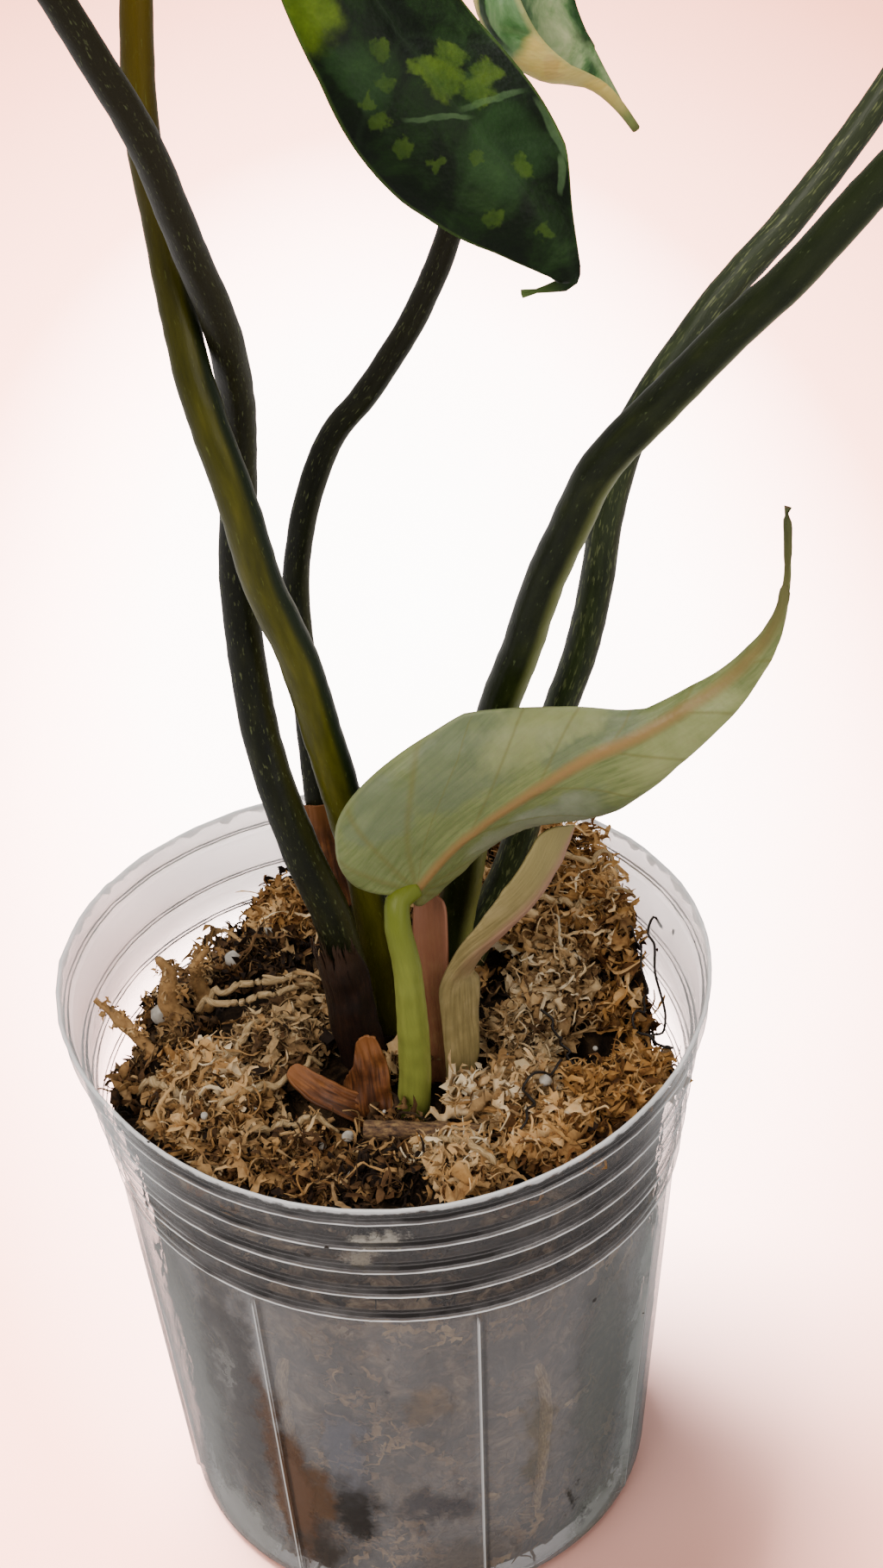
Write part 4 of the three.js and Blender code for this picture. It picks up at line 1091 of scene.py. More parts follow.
bractOutline = [[0.2, 0], [0.2, 0.3], [0.2, 0.6], [0.2, 0.88], [0.15, 0.97], [0, 1]]
bractWidest = 0.2
bracts = {  # half widths in mm from foot to tip, for each side of the middle line
    "tan": {
        "node": "cataphyll_tan",
        "spine": [[10, -17.6, 104], [10.2, -16.8, 113], [10.1, -15.3, 122], [11, -14, 129.5],
                  [15, -12.4, 134], [20.6, -10.6, 137.5], [26.5, -7.6, 141], [31.5, -4, 146],
                  [35, -0.5, 152]],
        "face": [[-0.3, 0.9, 0], [-0.4, 0.8, 0.3], [-0.4, 0.6, 0.6]],
        "halfWidths": [[3, 7, 8, 9.8, 8.6, 4, 1.4, 0.6], [0.6, 0.6, 0.6, 1.5, 4, 7.5, 8, 8]],
        "fold": [0.1, 0.3],
        "curl": 0.5,
        "crumple": 0.15,
    },
    "pink": {
        "node": "cataphyll_pink",
        "spine": [[9.3, -15.5, 104], [9, -14.2, 113], [8.7, -12.7, 122], [8.6, -11.2, 130],
                  [8.8, -9, 138], [9, -7.4, 142], [9.1, -6.6, 144]],
        "face": [[-0.3, -1, 0], [-0.3, -1, 0.1], [-0.3, -1, 0.2]],
        "halfWidths": [[2.2, 2.8, 3, 3.2], [2.2, 2.8, 3, 3.2]],
        "fold": [0, 0],
        "curl": 0.7,
        "crumple": 0.1,
    },
    "dryFront": {
        "node": "dried_sheath_front",
        "spine": [[-2.6, -23.2, 108], [-3, -22.4, 113], [-3.2, -21, 118], [-4, -19.5, 123.5]],
        "face": [[-0.1, -0.9, 0.3], [-0.1, -0.9, 0.4], [-0.2, -0.9, 0.4]],
        "halfWidths": [[8, 6.5, 3.6, 2], [2.4, 2.6, 2.4, 1.6]],
        "fold": [0, 0],
        "curl": -0.6,
        "crumple": 0.9,
    },
    "dryWing": {
        "node": "dried_sheath_front",
        "spine": [[-5, -22.6, 108.5], [-9, -23, 111.5], [-13.5, -21.5, 114], [-18, -18.5, 117]],
        "face": [[0.2, -0.7, 0.6], [0.2, -0.6, 0.8], [0.1, -0.6, 0.8]],
        "halfWidths": [[3, 2.6, 2.4, 1.6], [3, 2.6, 2.4, 1.6]],
        "fold": [0, 0],
        "curl": 0.8,
        "crumple": 0.7,
    },
    "dryA": {
        "node": "dried_sheath_stalk_a",
        "spine": [[-6.5, -10.2, 107], [-7.6, -10.2, 117], [-8.7, -9.9, 128], [-10.6, -9.2, 140]],
        "face": [[0.5, 0.85, 0], [0.5, 0.85, 0], [0.5, 0.85, 0.1]],
        "halfWidths": [[6, 6.5, 6, 5], [9, 9.5, 7, 4]],
        "fold": [0, 0],
        "curl": 2,
        "crumple": 0.4,
    },
    "dryC": {
        "node": "dried_sheath_stalk_c",
        "spine": [[-8.6, 12.6, 127], [-9.6, 14.6, 133.5], [-10.3, 16.9, 140.5], [-10.8, 18.6, 147]],
        "face": [[0.3, 0.9, 0.2], [0.3, 0.9, 0.2], [0.3, 0.9, 0.2]],
        "halfWidths": [[4, 4.5, 4], [4, 4.5, 4]],
        "fold": [0, 0],
        "curl": 1.5,
        "crumple": 0.4,
    },
}


def crumple(size, seed):
    def relief(x, y, u, length):
        flat = np.column_stack([x, y, np.zeros(len(x))])
        fine = np.column_stack([x * 1.6, y * 0.25, np.zeros(len(x))])
        return size * (noiseAt(flat, 0.3, seed) + 0.6 * noiseAt(fine, 0.9, seed + 1))
    return relief


def paperyBract(name, look):
    # A thin bract: fine lengthwise veins 0.6 mm apart, matt where dry
    material, tree, shader = newMaterial(name, look["roughness"])
    flat = addNode(tree, "UVMap", uv_map="flat")
    part = addNode(tree, "SeparateXYZ", links={0: addNode(tree, "UVMap", uv_map="span")})
    cloud = addNode(tree, "TexNoise", links={"Vector": flat},
                    values={"Scale": 14, "Detail": 4, "Roughness": 0.6}).outputs["Fac"]
    colour = addNode(tree, "ValToRGB", links={0: cloud}, stops=look["base"])
    lengthwise = addNode(tree, "Mapping", values={"Scale": (60, 4, 1)}, links={"Vector": flat})
    veins = addNode(tree, "TexNoise", links={"Vector": lengthwise},
                    values={"Scale": 2.4, "Detail": 3, "Roughness": 0.6}).outputs["Fac"]
    lines = addNode(tree, "MapRange", values={1: 0.4, 2: 0.62, 3: 0, 4: look["lines"]}, links={0: veins})
    tip = addNode(tree, "MapRange", interpolation_type="SMOOTHSTEP", links={0: part.outputs[1]},
                  values={1: look["tipFrom"], 2: 1, 3: 0, 4: 1})
    edge = addNode(tree, "MapRange", interpolation_type="SMOOTHSTEP", links={0: part},
                   values={1: look["edgeFrom"], 2: look["edgeTo"], 3: 0, 4: 0.8})
    upper = addNode(tree, "MapRange", links={0: part.outputs[1]},
                    values={1: look["edgeAbove"], 2: look["edgeAbove"] + 0.2, 3: 0, 4: 1})
    edge = addNode(tree, "Math", operation="MULTIPLY", links={0: edge, 1: upper})
    for tint, amount in (("line", lines), ("tip", tip), ("edge", edge)):
        colour = addNode(tree, "Mix", data_type="RGBA", values={7: linear(look[tint])},
                         links={0: amount, 6: colour}).outputs[2]
    bump = addNode(tree, "Bump", values={"Strength": 0.5, "Distance": 0.0003}, links={"Height": veins})
    connect(tree, shader, {"Base Color": colour, "Normal": bump})
    if "torn" in look:  # the top is torn in points a few mm long
        shreds = addNode(tree, "Math", operation="MULTIPLY_ADD", values={1: look["torn"]},
                         links={0: veins, 2: part.outputs[1]})
        whole = addNode(tree, "Math", operation="LESS_THAN", links={0: shreds},
                        values={1: 0.83 + 0.5 * look["torn"]})
        connect(tree, shader, {"Alpha": whole})
    return material


bractLooks = {
    "tan": {
        "base": [(0.3, "#8a7b4b"), (0.5, "#a18f5c"), (0.7, "#b7a373")],
        "line": "#6b6035",
        "lines": 0.5,
        "tip": "#a0925c",
        "tipFrom": 0.5,
        "edge": "#b78672",
        "edgeFrom": 0.35,
        "edgeTo": -0.1,  # the pink margin is on the side that faces the stalks
        "edgeAbove": 0.42,
        "roughness": 0.58,
    },
    "pink": {
        "base": [(0.3, "#86583c"), (0.5, "#946746"), (0.7, "#a37a52")],
        "line": "#7a4233",
        "lines": 0.45,
        "tip": "#8f5c40",
        "tipFrom": 0.4,
        "edge": "#a06a50",
        "edgeFrom": 0.6,
        "edgeTo": 1,
        "edgeAbove": -0.3,
        "roughness": 0.52,
    },
    "dried": {
        "base": [(0.3, "#40230f"), (0.5, "#744320"), (0.7, "#a86c34")],
        "line": "#2a160a",
        "lines": 0.8,
        "tip": "#8a5528",
        "tipFrom": 0.6,
        "edge": "#8a5529",
        "edgeFrom": 0.7,
        "edgeTo": 1,
        "edgeAbove": -0.3,
        "roughness": 0.6,
    },
    "driedDark": {
        "base": [(0.3, "#150d0a"), (0.5, "#281811"), (0.7, "#3d2619")],
        "line": "#100a08",
        "lines": 0.6,
        "tip": "#3f2c1e",
        "tipFrom": 0.6,
        "edge": "#5a3d24",
        "edgeFrom": 0.85,
        "edgeTo": 1,
        "edgeAbove": -0.3,
        "roughness": 0.5,
        "torn": 0.9,
    },
}


def makeBracts():
    finishes = {key: paperyBract(f"{key}Bract", look) for key, look in bractLooks.items()}
    chosen = {"tan": ("tan", "fresh_bract"), "pink": ("pink", "pink_bract"),
              "dryA": ("driedDark", "dried_bract")}
    for seed, (key, bract) in enumerate(bracts.items()):
        full = bractWidest * byLength(curveThrough(bract["spine"]))[1]
        widest = max(max(side) for side in bract["halfWidths"])
        leaf = {
            "spine": bract["spine"],
            "face": bract["face"],
            "outline": bractOutline,
            "width": [[reach / full for reach in side] for side in bract["halfWidths"]],
            "fold": bract["fold"],
            "curl": [bract["curl"] * full / widest] * 2,
            "roll": [0, 0],
            "wave": [0.5, 2],
            "relief": crumple(bract["crumple"], seed),
            "thickness": 0.5,
        }
        look, slotName = chosen.get(key, ("dried", "dried_bract"))
        finish = finishes[look]
        addBlade(f"bract-{key}", leaf, finish, finish, slotName, bract["node"], columns=36, rows=60)


# Moss: a dark packed bed, and on it thousands of dry sphagnum sprigs, curls and flat strands

moss = {
    "height": 108.5,
    "hills": [[-57, 12, -12, 13], [-40, 38, -12, 12], [-18, 55, 4, 9], [38, 40, 13, 15],
              [53, 2, -13, 9], [35, -6, -11, 7.5], [0, -57, 11, 17], [37, -38, 6, 12],
              [-26, 6, 4, 12], [-38, -34, 5, 13], [4, -6, 2, 12]],
    "lump": 1.3,
    "bedBelow": 3.6,  # the bed lies this far under the strands
    "bedInset": 2.2,
    "bedFoot": 1.2,  # over the pot's floor
    "bedRough": 1.2,
    "reach": 57,  # scraps lie within this radius
    "dome": 4.2,  # how far each clump bulges
    "sunk": 2.4,  # and how deep it sits
    "wild": 0.8,  # how far strands stray from their clump's heading, in radians
    "hollow": -3,  # a clump that sits lower than this is nearly bare
    "smallSpot": 4.5,  # a clear spot under this radius is kept clear nearly to its edge
    "clumps": [
        # x, y, radius, heading of its strands in degrees, how golden, how pale, lift
        # The sunken clumps with low paleness stand for hollows: their darkness is painted shade
        [44, 40, 13, 150, 0.95, 0.6, 0.5], [43, 23, 10, 5, 0.75, 0.55, 0.6],
        [32, 9, 9, -20, 0.3, 0.62, 0.6], [44, 6, 7, 60, 0.9, 0.46, -0.3],
        [39, -3, 8, 0, 0.3, 0.0, -3.6], [50, -6, 5, 80, 0.3, 0.1, -1],
        [41, -22, 11, 25, 0.95, 0.47, 1.3], [27, -39, 9.5, 45, 0.85, 0.5, 0.8],
        [17, -27, 9, 80, 0.45, 0.68, 1.2], [25, -4, 8, 120, 0.2, 0.45, 0],
        [9, -42, 8, 10, 0.5, 0.7, 0.9], [-6, -46, 10, 30, 0.4, 0.14, -1.4],
        [-17, -34, 9, 20, 0.45, 0.26, -0.6], [-28, -22, 10, 35, 0.5, 0.54, 0.6],
        [-35, -12, 9.5, 20, 0.6, 0.6, 0.8], [-20, -5, 10, 10, 0.2, 0.42, 0.2],
        [-25, 26, 10, 60, 0.35, 0.18, 0.6], [-18, 37, 8, 15, 0.8, 0.5, 1],
        [-41, 22, 8, 100, 0.4, 0.2, 1], [-49, -9, 8, -45, 0.4, 0.2, 0],
        [-42, 2, 7, 30, 0.35, 0.36, 0.2], [-13, 8, 7, 20, 0.2, 0.42, 0],
        [-28, -38, 8, 15, 0.5, 0.38, 0.2], [-14, -46, 7, 60, 0.6, 0.3, -0.8],
        [0, 50, 12, 10, 0.5, 0.5, 0.5], [21, 50, 10, -30, 0.9, 0.55, 0.8],
        [-4, 34, 10, 70, 0.4, 0.45, 0], [16, 32, 10, 110, 0.5, 0.5, 0.3],
        [28, 22, 8, 30, 0.6, 0.55, 0.4], [-36, 38, 9, -30, 0.5, 0.26, 0],
        [10, 12, 9, 10, 0.3, 0.4, -0.3], [12, -52, 7, -10, 0.6, 0.5, 0.3],
        [-2, -30, 7, 5, 0.45, 0.3, -0.6], [5, -14, 7, 60, 0.4, 0.4, -0.3],
        [24, -20, 7, 100, 0.3, 0.57, 0.6], [-38, -28, 8, 60, 0.55, 0.44, 0.4],
        [1, -37.5, 5, 10, 0.5, 0.2, -2.1], [11, -38.5, 4, 10, 0.4, 0.2, -2],
        [3, -29.5, 3.5, 0, 0.3, 0.2, -2.2],
    ],
    "clear": [
        # x, y, radius: kept free for what stands or lies here
        [-3, -22.5, 6.5], [-11, -22.4, 4.5], [-16.5, -20, 4], [3.5, -21.5, 5], [9.5, -16, 5],
        [-6.5, -8.5, 6.5], [0, 3, 5], [-4, 13, 4], [12, 8.5, 5], [15, 18, 5],
        [-4, -33, 3.4], [0, -33.6, 3.4], [4, -34, 3.4], [8, -34.6, 3.4], [12, -35.2, 3.4], [15, -35.6, 3],
        [40, -1, 4.4],
    ],
    "topCrumples": 1700,
    "topSprigs": 1000,
    "topStrands": 1300,
    "topCurls": 600,
    "wallCrumples": 1500,
    "wallStrands": 500,
    "seed": 41,
}
scraps = {  # mm: length, half width; quads across and along; sway, rise, crinkle, cup, turns, ragged edge
    "crumple": {"length": (6, 11), "width": (0.8, 1.5), "quads": (3, 11), "sway": 1.2, "rise": 1.2,
                "crinkle": 0.6, "cup": 0.8, "turns": 2.8, "ragged": 0.36, "pucker": 0.9},
    "strand": {"length": (8, 16), "width": (0.3, 0.52), "quads": (2, 15), "sway": 1.9, "rise": 1.3,
               "crinkle": 0.4, "cup": 0.6, "turns": 4, "ragged": 0.18, "pucker": 0.25},
    "sprig": {"length": (6, 10), "width": (0.25, 0.3), "quads": (1, 8), "sway": 1, "rise": 1,
              "crinkle": 0.3, "cup": 0, "turns": 2, "ragged": 0.1, "pucker": 0.1},
}


def mossHeight(x, y):
    height = moss["height"]
    for hx, hy, rise, spread in moss["hills"]:
        height = height + rise * np.exp(-((x - hx) ** 2 + (y - hy) ** 2) / (2 * spread ** 2))
    lumps = np.sin(x / 3.1 + np.sin(y / 4.3)) * np.sin(y / 2.7 + np.sin(x / 5.1))
    return np.minimum(height + lumps * moss["lump"], pot["height"] - 1.5)


def mossBedShape(u, v):
    angle = u * math.pi
    sideShare = 0.45  # this share of the rows climbs the side, the rest covers the top
    onSide = v < sideShare
    edge = roomRadius(angle, moss["height"], moss["bedInset"])
    top = mossHeight(edge * np.cos(angle), edge * np.sin(angle)) - moss["bedBelow"]
    low = pot["floor"] + moss["bedFoot"]
    z = low + (top - low) * np.clip(v / sideShare, 0, 1)
    radius = roomRadius(angle, z, moss["bedInset"]) * np.where(v <= 0, 0, 1)
    inward = np.clip((v - sideShare) / (1 - sideShare), 0, 1)
    radius = np.where(onSide, radius, roomRadius(angle, top, moss["bedInset"]) * (1 - inward))
    x, y = radius * np.cos(angle), radius * np.sin(angle)
    z = np.where(onSide, z, mossHeight(x, y) - moss["bedBelow"])
    places = np.column_stack([x, y, z])
    rough = noiseAt(places, 0.22, 1) + 0.6 * noiseAt(places, 0.6, 2)
    lift = np.where(onSide, 0, rough * moss["bedRough"])
    shrink = 1 - np.where(onSide & (v > 0), (rough + 1) * 0.01, 0)
    zone = {"zone": np.column_stack([np.where(onSide, 0.0, 1.0), v])}
    return np.column_stack([x * shrink, y * shrink, z + lift]), zone


fullTurn = 6.28  # radians


def makeProto(name, kind, rng):
    # One dry scrap of moss, lying along X with its middle at the origin
    form = scraps.get(kind, scraps["strand"])
    length, width = rng.uniform(*form["length"]), rng.uniform(*form["width"])
    bend, twist, phase = rng.uniform(-1, 1), rng.uniform(-1, 1), rng.uniform(0, fullTurn)
    seed = rng.randint(1, 99)

    def spineAt(t):
        if kind == "curl":
            turns, size = 0.8 + abs(bend), 0.8 + 0.8 * abs(twist)
            return np.column_stack([(t - 0.5) * length * 0.6, size * np.sin(turns * fullTurn * t + phase),
                                    size * np.cos(turns * fullTurn * t + phase)])
        side = bend * np.sin(3.6 * t + phase) + 0.5 * np.sin(8 * t + 2 * phase)
        top = np.sin(3.14 * t) + 0.4 * np.sin(7 * t + phase)
        return np.column_stack([(t - 0.5) * length * 0.85 + form["crinkle"] * np.sin(12 * t + phase),
                                form["sway"] * side,
                                form["rise"] * top + form["crinkle"] * np.sin(14 * t + seed)])

    if kind == "curl":
        return gridMesh(name, 3, 13, tubeShape(spineAt(np.linspace(0, 1, 10)), [0.17, 0.24, 0.1]), weld=True)

    def band(u, v):
        spin = phase + form["turns"] * twist * v
        row = np.round(v * form["quads"][1])
        half = width * (0.25 + 0.75 * np.sin(math.pi * np.clip(v * 0.94 + 0.03, 0, 1)) ** 0.7)
        half = half * (1 + form["ragged"] * np.where((row + (u > 0)) % 2 == 0, 1, -1) * (np.abs(u) > 0.9))
        level = np.column_stack([np.zeros(len(u)), np.cos(spin), np.sin(spin)])
        upright = np.column_stack([np.zeros(len(u)), -np.sin(spin), np.cos(spin)])
        places = spineAt(v) + level * (u * half)[:, None] + upright * (form["cup"] * half * u ** 2)[:, None]
        bumps = [noiseAt(places, 0.75, seed + axis) for axis in range(3)]
        return places + form["pucker"] * np.column_stack(bumps), {}

    stem = gridMesh(name, *form["quads"], band)
    if kind != "sprig":
        return stem
    bm = bmesh.new()
    bm.from_mesh(stem)
    leaves = 7
    for i in range(leaves):
        long, wide, hook = rng.uniform(2.4, 4.6), rng.uniform(0.45, 0.8), rng.uniform(0.6, 3.6)
        spin, sway = rng.uniform(-1.4, 1.4), rng.uniform(-0.6, 0.6)
        first = len(bm.verts)
        bmesh.ops.create_grid(bm, x_segments=2, y_segments=3, size=1)
        bm.verts.ensure_lookup_table()
        leaf = bm.verts[first:]
        for vert in leaf:  # a pointed leaflet, cupped across, that curls up as it dries
            across, along = vert.co.x, (vert.co.y + 1) / 2
            half = across * wide * ((1 - along ** 2) * (0.55 + 1.2 * along) + 0.03)
            lift = 0.45 * wide * across ** 2 * (1 - along)
            turned = spin * along
            vert.co = Vector((long * math.sin(hook * along + 0.001) / (hook + 0.001),
                              half * math.cos(turned) - lift * math.sin(turned) + sway * math.sin(4 * along),
                              half * math.sin(turned) + lift * math.cos(turned)
                              + long * (1 - math.cos(hook * along)) / (hook + 0.001))) * mm
        spot = Vector(spineAt(np.array([(i + 0.5) / leaves]))[0]) * mm
        around = Matrix.Rotation(rng.uniform(0, fullTurn), 4, "X")
        aim = around @ Matrix.Rotation(rng.uniform(-1.3, -0.3), 4, "Y")
        bmesh.ops.transform(bm, matrix=Matrix.Translation(spot) @ aim, verts=leaf)
    bm.to_mesh(stem)
    bm.free()
    stem.shade_smooth()
    return stem


def paintScrap(mesh, tint, gold):  # how pale and how golden its material makes it
    for label, value in (("tint", tint), ("gold", gold)):
        layer = mesh.attributes.get(label) or mesh.attributes.new(label, "FLOAT", "POINT")
        layer.data.foreach_set("value", np.full(len(mesh.vertices), value, np.float32))


def scatter(name, protos, places, material):
    # Lays a copy of a scrap at each place: (matrix, tint, gold), all in one mesh
    rng = random.Random(moss["seed"])
    bm = bmesh.new()
    for matrix, tint, gold in places:
        copy = rng.choice(protos)
        paintScrap(copy, tint, gold)
        copy.transform(matrix)
        bm.from_mesh(copy, face_normals=False, vertex_normals=False)
        copy.transform(matrix.inverted())
    addPiece(name, finishMesh(name, bm), material, "dried_sphagnum")


def basis(normal, heading):  # turns X to the heading and Z to the normal
    z = Vector(normal).normalized()
    x = Vector(heading)
    x = (x - z * x.dot(z)).normalized()
    return Matrix((x, z.cross(x), z)).transposed().to_4x4()


def surfaceNormal(x, y):
    step = 1.5
    slopeX = float(mossHeight(x + step, y) - mossHeight(x - step, y)) / (2 * step)
    slopeY = float(mossHeight(x, y + step) - mossHeight(x, y - step)) / (2 * step)
    return Vector((-slopeX, -slopeY, 1)).normalized()


def clumpAt(x, y):  # the clump that (x, y) lies in, and how far out in it, 1 at its edge
    best = min(moss["clumps"], key=lambda c: math.hypot(x - c[0], y - c[1]) / c[2])
    return best, math.hypot(x - best[0], y - best[1]) / best[2]


def keptClear(x, y, smallShare, largeShare):  # inside one of the clear spots, up to a share of its radius
    for cx, cy, radius in moss["clear"]:
        share = smallShare if radius < moss["smallSpot"] else largeShare
        if math.hypot(x - cx, y - cy) < share * radius:
            return True
    return False


def topPlaces(count, rng, above, below, tilt):
    places = []
    while len(places) < count:
        away, angle = moss["reach"] * math.sqrt(rng.random()), rng.uniform(0, 2 * math.pi)
        x, y = away * math.cos(angle), away * math.sin(angle)
        if keptClear(x, y, 1, 0.8):
            continue
        (cx, cy, _, facing, gold, paleness, lift), out = clumpAt(x, y)
        if rng.random() < (0.85 if out > 0.9 else 0.05) + (0.8 if lift < moss["hollow"] else 0):
            continue
        # Strands follow the heading of their clump and bend round its middle
        around, facing = math.atan2(y - cy, x - cx) + math.pi / 2, math.radians(facing)
        swirl = facing + 0.5 * math.sin(around - facing) + rng.gauss(0, moss["wild"])
        heading = Vector((math.cos(swirl), math.sin(swirl), rng.uniform(-tilt, tilt)))
        dome = moss["dome"] * (1 - min(out, 1.3) ** 2)
        depth = rng.uniform(-below, above)
        z = float(mossHeight(x, y)) + lift + dome - moss["sunk"] + depth
        along = [Vector((x, y, z)) + heading.normalized() * r for r in (-7, -5, -2.5, 2.5, 5, 7)]
        if any(math.hypot(e.x, e.y) > float(roomRadius(math.atan2(e.y, e.x), max(z, 90), 1.4))
               for e in along[1:-1]):
            continue
        if any(keptClear(e.x, e.y, 0.85, 0.62) for e in along):
            continue
        turned = basis(surfaceNormal(x, y), heading) @ Matrix.Rotation(rng.gauss(0, tilt), 4, "Y")
        turned = turned @ Matrix.Rotation(rng.uniform(0, fullTurn), 4, "X")
        place = Matrix.Translation(Vector((x, y, z)) * mm) @ (turned @ Matrix.Scale(rng.uniform(0.7, 1.2), 4))
        pale = paleness + 0.2 * noise.noise(Vector((x, y, z)) * 0.2) + rng.gauss(0, 0.16)
        pale += 0.09 * (depth - above) + 0.09 - 0.2 * (out > 0.86)  # deeper scraps and those at a clump's edge are darker: painted shade
        places.append((place, clamp(pale), clamp(gold + rng.gauss(0, 0.15))))
    return places


def wallPlaces(count, rng):
    places = []
    while len(places) < count:
        angle = rng.uniform(-math.pi, math.pi)
        edge = float(roomRadius(angle, 108, 1))
        top = float(mossHeight(edge * math.cos(angle), edge * math.sin(angle)))
        z = rng.uniform(4, top - 2)
        # Pale wisps gather in patches some 20 mm across and leave dark pockets between
        patch = noise.noise(Vector((angle * 3.2, z * 0.055, 4)))
        patch += 0.5 * noise.noise(Vector((angle * 8, z * 0.14, 9)))
        if patch < rng.uniform(-0.35, 0.3) - 0.25 * (z < 30):
            continue
        radius = float(roomRadius(angle, z, rng.uniform(1.3, 2.6)))
        outward = Vector((math.cos(angle), math.sin(angle), 0))
        level = Vector((-math.sin(angle), math.cos(angle), rng.gauss(0.2, 1.4)))
        flatten = Matrix.Diagonal((1, 1, 0.25, 1))
        place = Matrix.Translation(Vector((radius * outward.x, radius * outward.y, z)) * mm)
        place = place @ basis(outward, level) @ flatten @ Matrix.Rotation(rng.uniform(0, fullTurn), 4, "X")
        # Scraps above 84 mm are darker: painted shade in the gap under the ring band
        tint = 0.26 + 0.36 * patch + rng.gauss(0, 0.07) - 0.3 * (z > 84)
        places.append((place @ Matrix.Scale(0.75, 4), clamp(tint), 0.25))
    return places


def driedSphagnum():
    # Dry sphagnum: matt crinkled leaflets, from dark brown through straw or gold to pale cream
    material, tree, shader = newMaterial("driedSphagnum", 0.85)
    tint, gold = (addNode(tree, "Attribute", attribute_name=name).outputs["Fac"] for name in ("tint", "gold"))
    place = addNode(tree, "TexCoord").outputs["Object"]
    fine = addNode(tree, "TexNoise", links={"Vector": place},
                   values={"Scale": 800, "Detail": 3, "Roughness": 0.6}).outputs["Fac"]  # grain of about 1 mm
    shift = addNode(tree, "Math", operation="MULTIPLY_ADD", values={1: 0.4, 2: -0.2}, links={0: fine})
    tone = addNode(tree, "Math", operation="ADD", links={0: tint, 1: shift})
    straw = addNode(tree, "ValToRGB", links={0: tone},
                    stops=[(0.04, "#1c130d"), (0.25, "#5a452f"), (0.5, "#a88d66"), (0.72, "#d2bb92"),
                           (0.95, "#efe3c6")])
    golden = addNode(tree, "ValToRGB", links={0: tone},
                     stops=[(0.04, "#24160c"), (0.25, "#6f4822"), (0.5, "#b98849"), (0.74, "#dcb176"),
                            (0.96, "#f2dbb0")])
    colour = addNode(tree, "Mix", data_type="RGBA", links={0: gold, 6: straw, 7: golden}).outputs[2]
    bump = addNode(tree, "Bump", values={"Strength": 0.4, "Distance": 0.0003}, links={"Height": fine})
    connect(tree, shader, {"Base Color": colour, "Normal": bump})
    shader.inputs["Specular IOR Level"].default_value = 0.25
    return material


def packedSphagnum():
    # The wetter moss under the surface: dark, fibrous, with paler wisps some 6 mm long and patches of 20 mm;
    # its near black top, seen between the dry scraps, is painted shade
    material, tree, shader = newMaterial("packedSphagnum", 0.9)
    place = addNode(tree, "TexCoord").outputs["Object"]
    warp = addNode(tree, "TexNoise", links={"Vector": place}, values={"Scale": 70, "Detail": 3})
    bent = addNode(tree, "VectorMath", operation="MULTIPLY_ADD", values={1: (0.03, 0.03, 0.03)},
                   links={0: warp.outputs["Color"], 2: place})
    wisps = addNode(tree, "TexNoise", links={"Vector": bent},
                    values={"Scale": 200, "Detail": 6, "Roughness": 0.66}).outputs["Fac"]
    patches = addNode(tree, "TexNoise", links={"Vector": place}, values={"Scale": 50, "Detail": 4})
    both = addNode(tree, "Math", operation="MULTIPLY_ADD", values={1: 0.55},
                   links={0: patches.outputs["Fac"], 2: wisps})
    atWall = addNode(tree, "ValToRGB", links={0: both},
                     stops=[(0.6, "#1c1613"), (0.74, "#403429"), (0.84, "#6f5c49"), (0.98, "#a08c72")])
    onTop = addNode(tree, "ValToRGB", links={0: both},
                    stops=[(0.6, "#0d0906"), (0.78, "#20170f"), (0.98, "#4a3826")])
    share = addNode(tree, "SeparateXYZ", links={0: addNode(tree, "UVMap", uv_map="zone")})
    colour = addNode(tree, "Mix", data_type="RGBA", links={0: share, 6: atWall, 7: onTop}).outputs[2]
    bump = addNode(tree, "Bump", values={"Strength": 0.9, "Distance": 0.001}, links={"Height": wisps})
    connect(tree, shader, {"Base Color": colour, "Normal": bump})
    shader.inputs["Specular IOR Level"].default_value = 0.1
    return material


tufts = {  # ragged lumps that stand up at the left wall: the middle line of each, and its radius
    "lines": [[[-39, -4, 106], [-45, -1, 110], [-49, 2, 114], [-53.2, 3, 118.2]],
              [[-38, 8, 106], [-40.5, 9, 112], [-40, 10, 117], [-41.5, 10, 121]],
              [[-34, 14, 104], [-35.5, 17, 112], [-33, 18, 116]]],
    "radii": [[1.3, 1.1, 1.2, 0.5], [2.2, 1.8, 1.6, 0.6], [2, 1.5, 0.6]],
    "scraps": 30,
}


def jitter(rng, spread):
    return Vector((rng.gauss(0, spread), rng.gauss(0, spread), rng.gauss(0, spread)))


def tuftPlaces(rng):  # scraps that cling to the tufts, smaller near the top
    places = []
    for line, radii in zip(tufts["lines"], tufts["radii"]):
        path = byLength(curveThrough(line))[0]
        for _ in range(tufts["scraps"]):
            t = rng.random() ** 0.8
            along = Vector(pointOn(path, min(1, t + 0.05)) - pointOn(path, t))
            spot = Vector(pointOn(path, t * 0.93))
            spot += jitter(rng, 1) * 0.5 * max(radii)
            heading = along.normalized() + jitter(rng, 0.4)
            place = Matrix.Translation(spot * mm) @ basis((rng.gauss(0, 1), rng.gauss(0, 1), 0.3), heading)
            size = rng.uniform(0.25, 0.45) if t > 0.75 else rng.uniform(0.3, 0.6)
            places.append((place @ Matrix.Scale(size, 4), rng.uniform(0.3, 0.62), rng.uniform(0.2, 0.7)))
    return places


def tuftCores():  # the solid middle of each tuft
    cores = []
    for i, (line, radii) in enumerate(zip(tufts["lines"], tufts["radii"])):
        cores.append(gridMesh(f"core{i}", 12, 30, tubeShape(line, radii, bumps=0.55, seed=i), weld=True))
        paintScrap(cores[-1], 0.42, 0.5)
    return cores


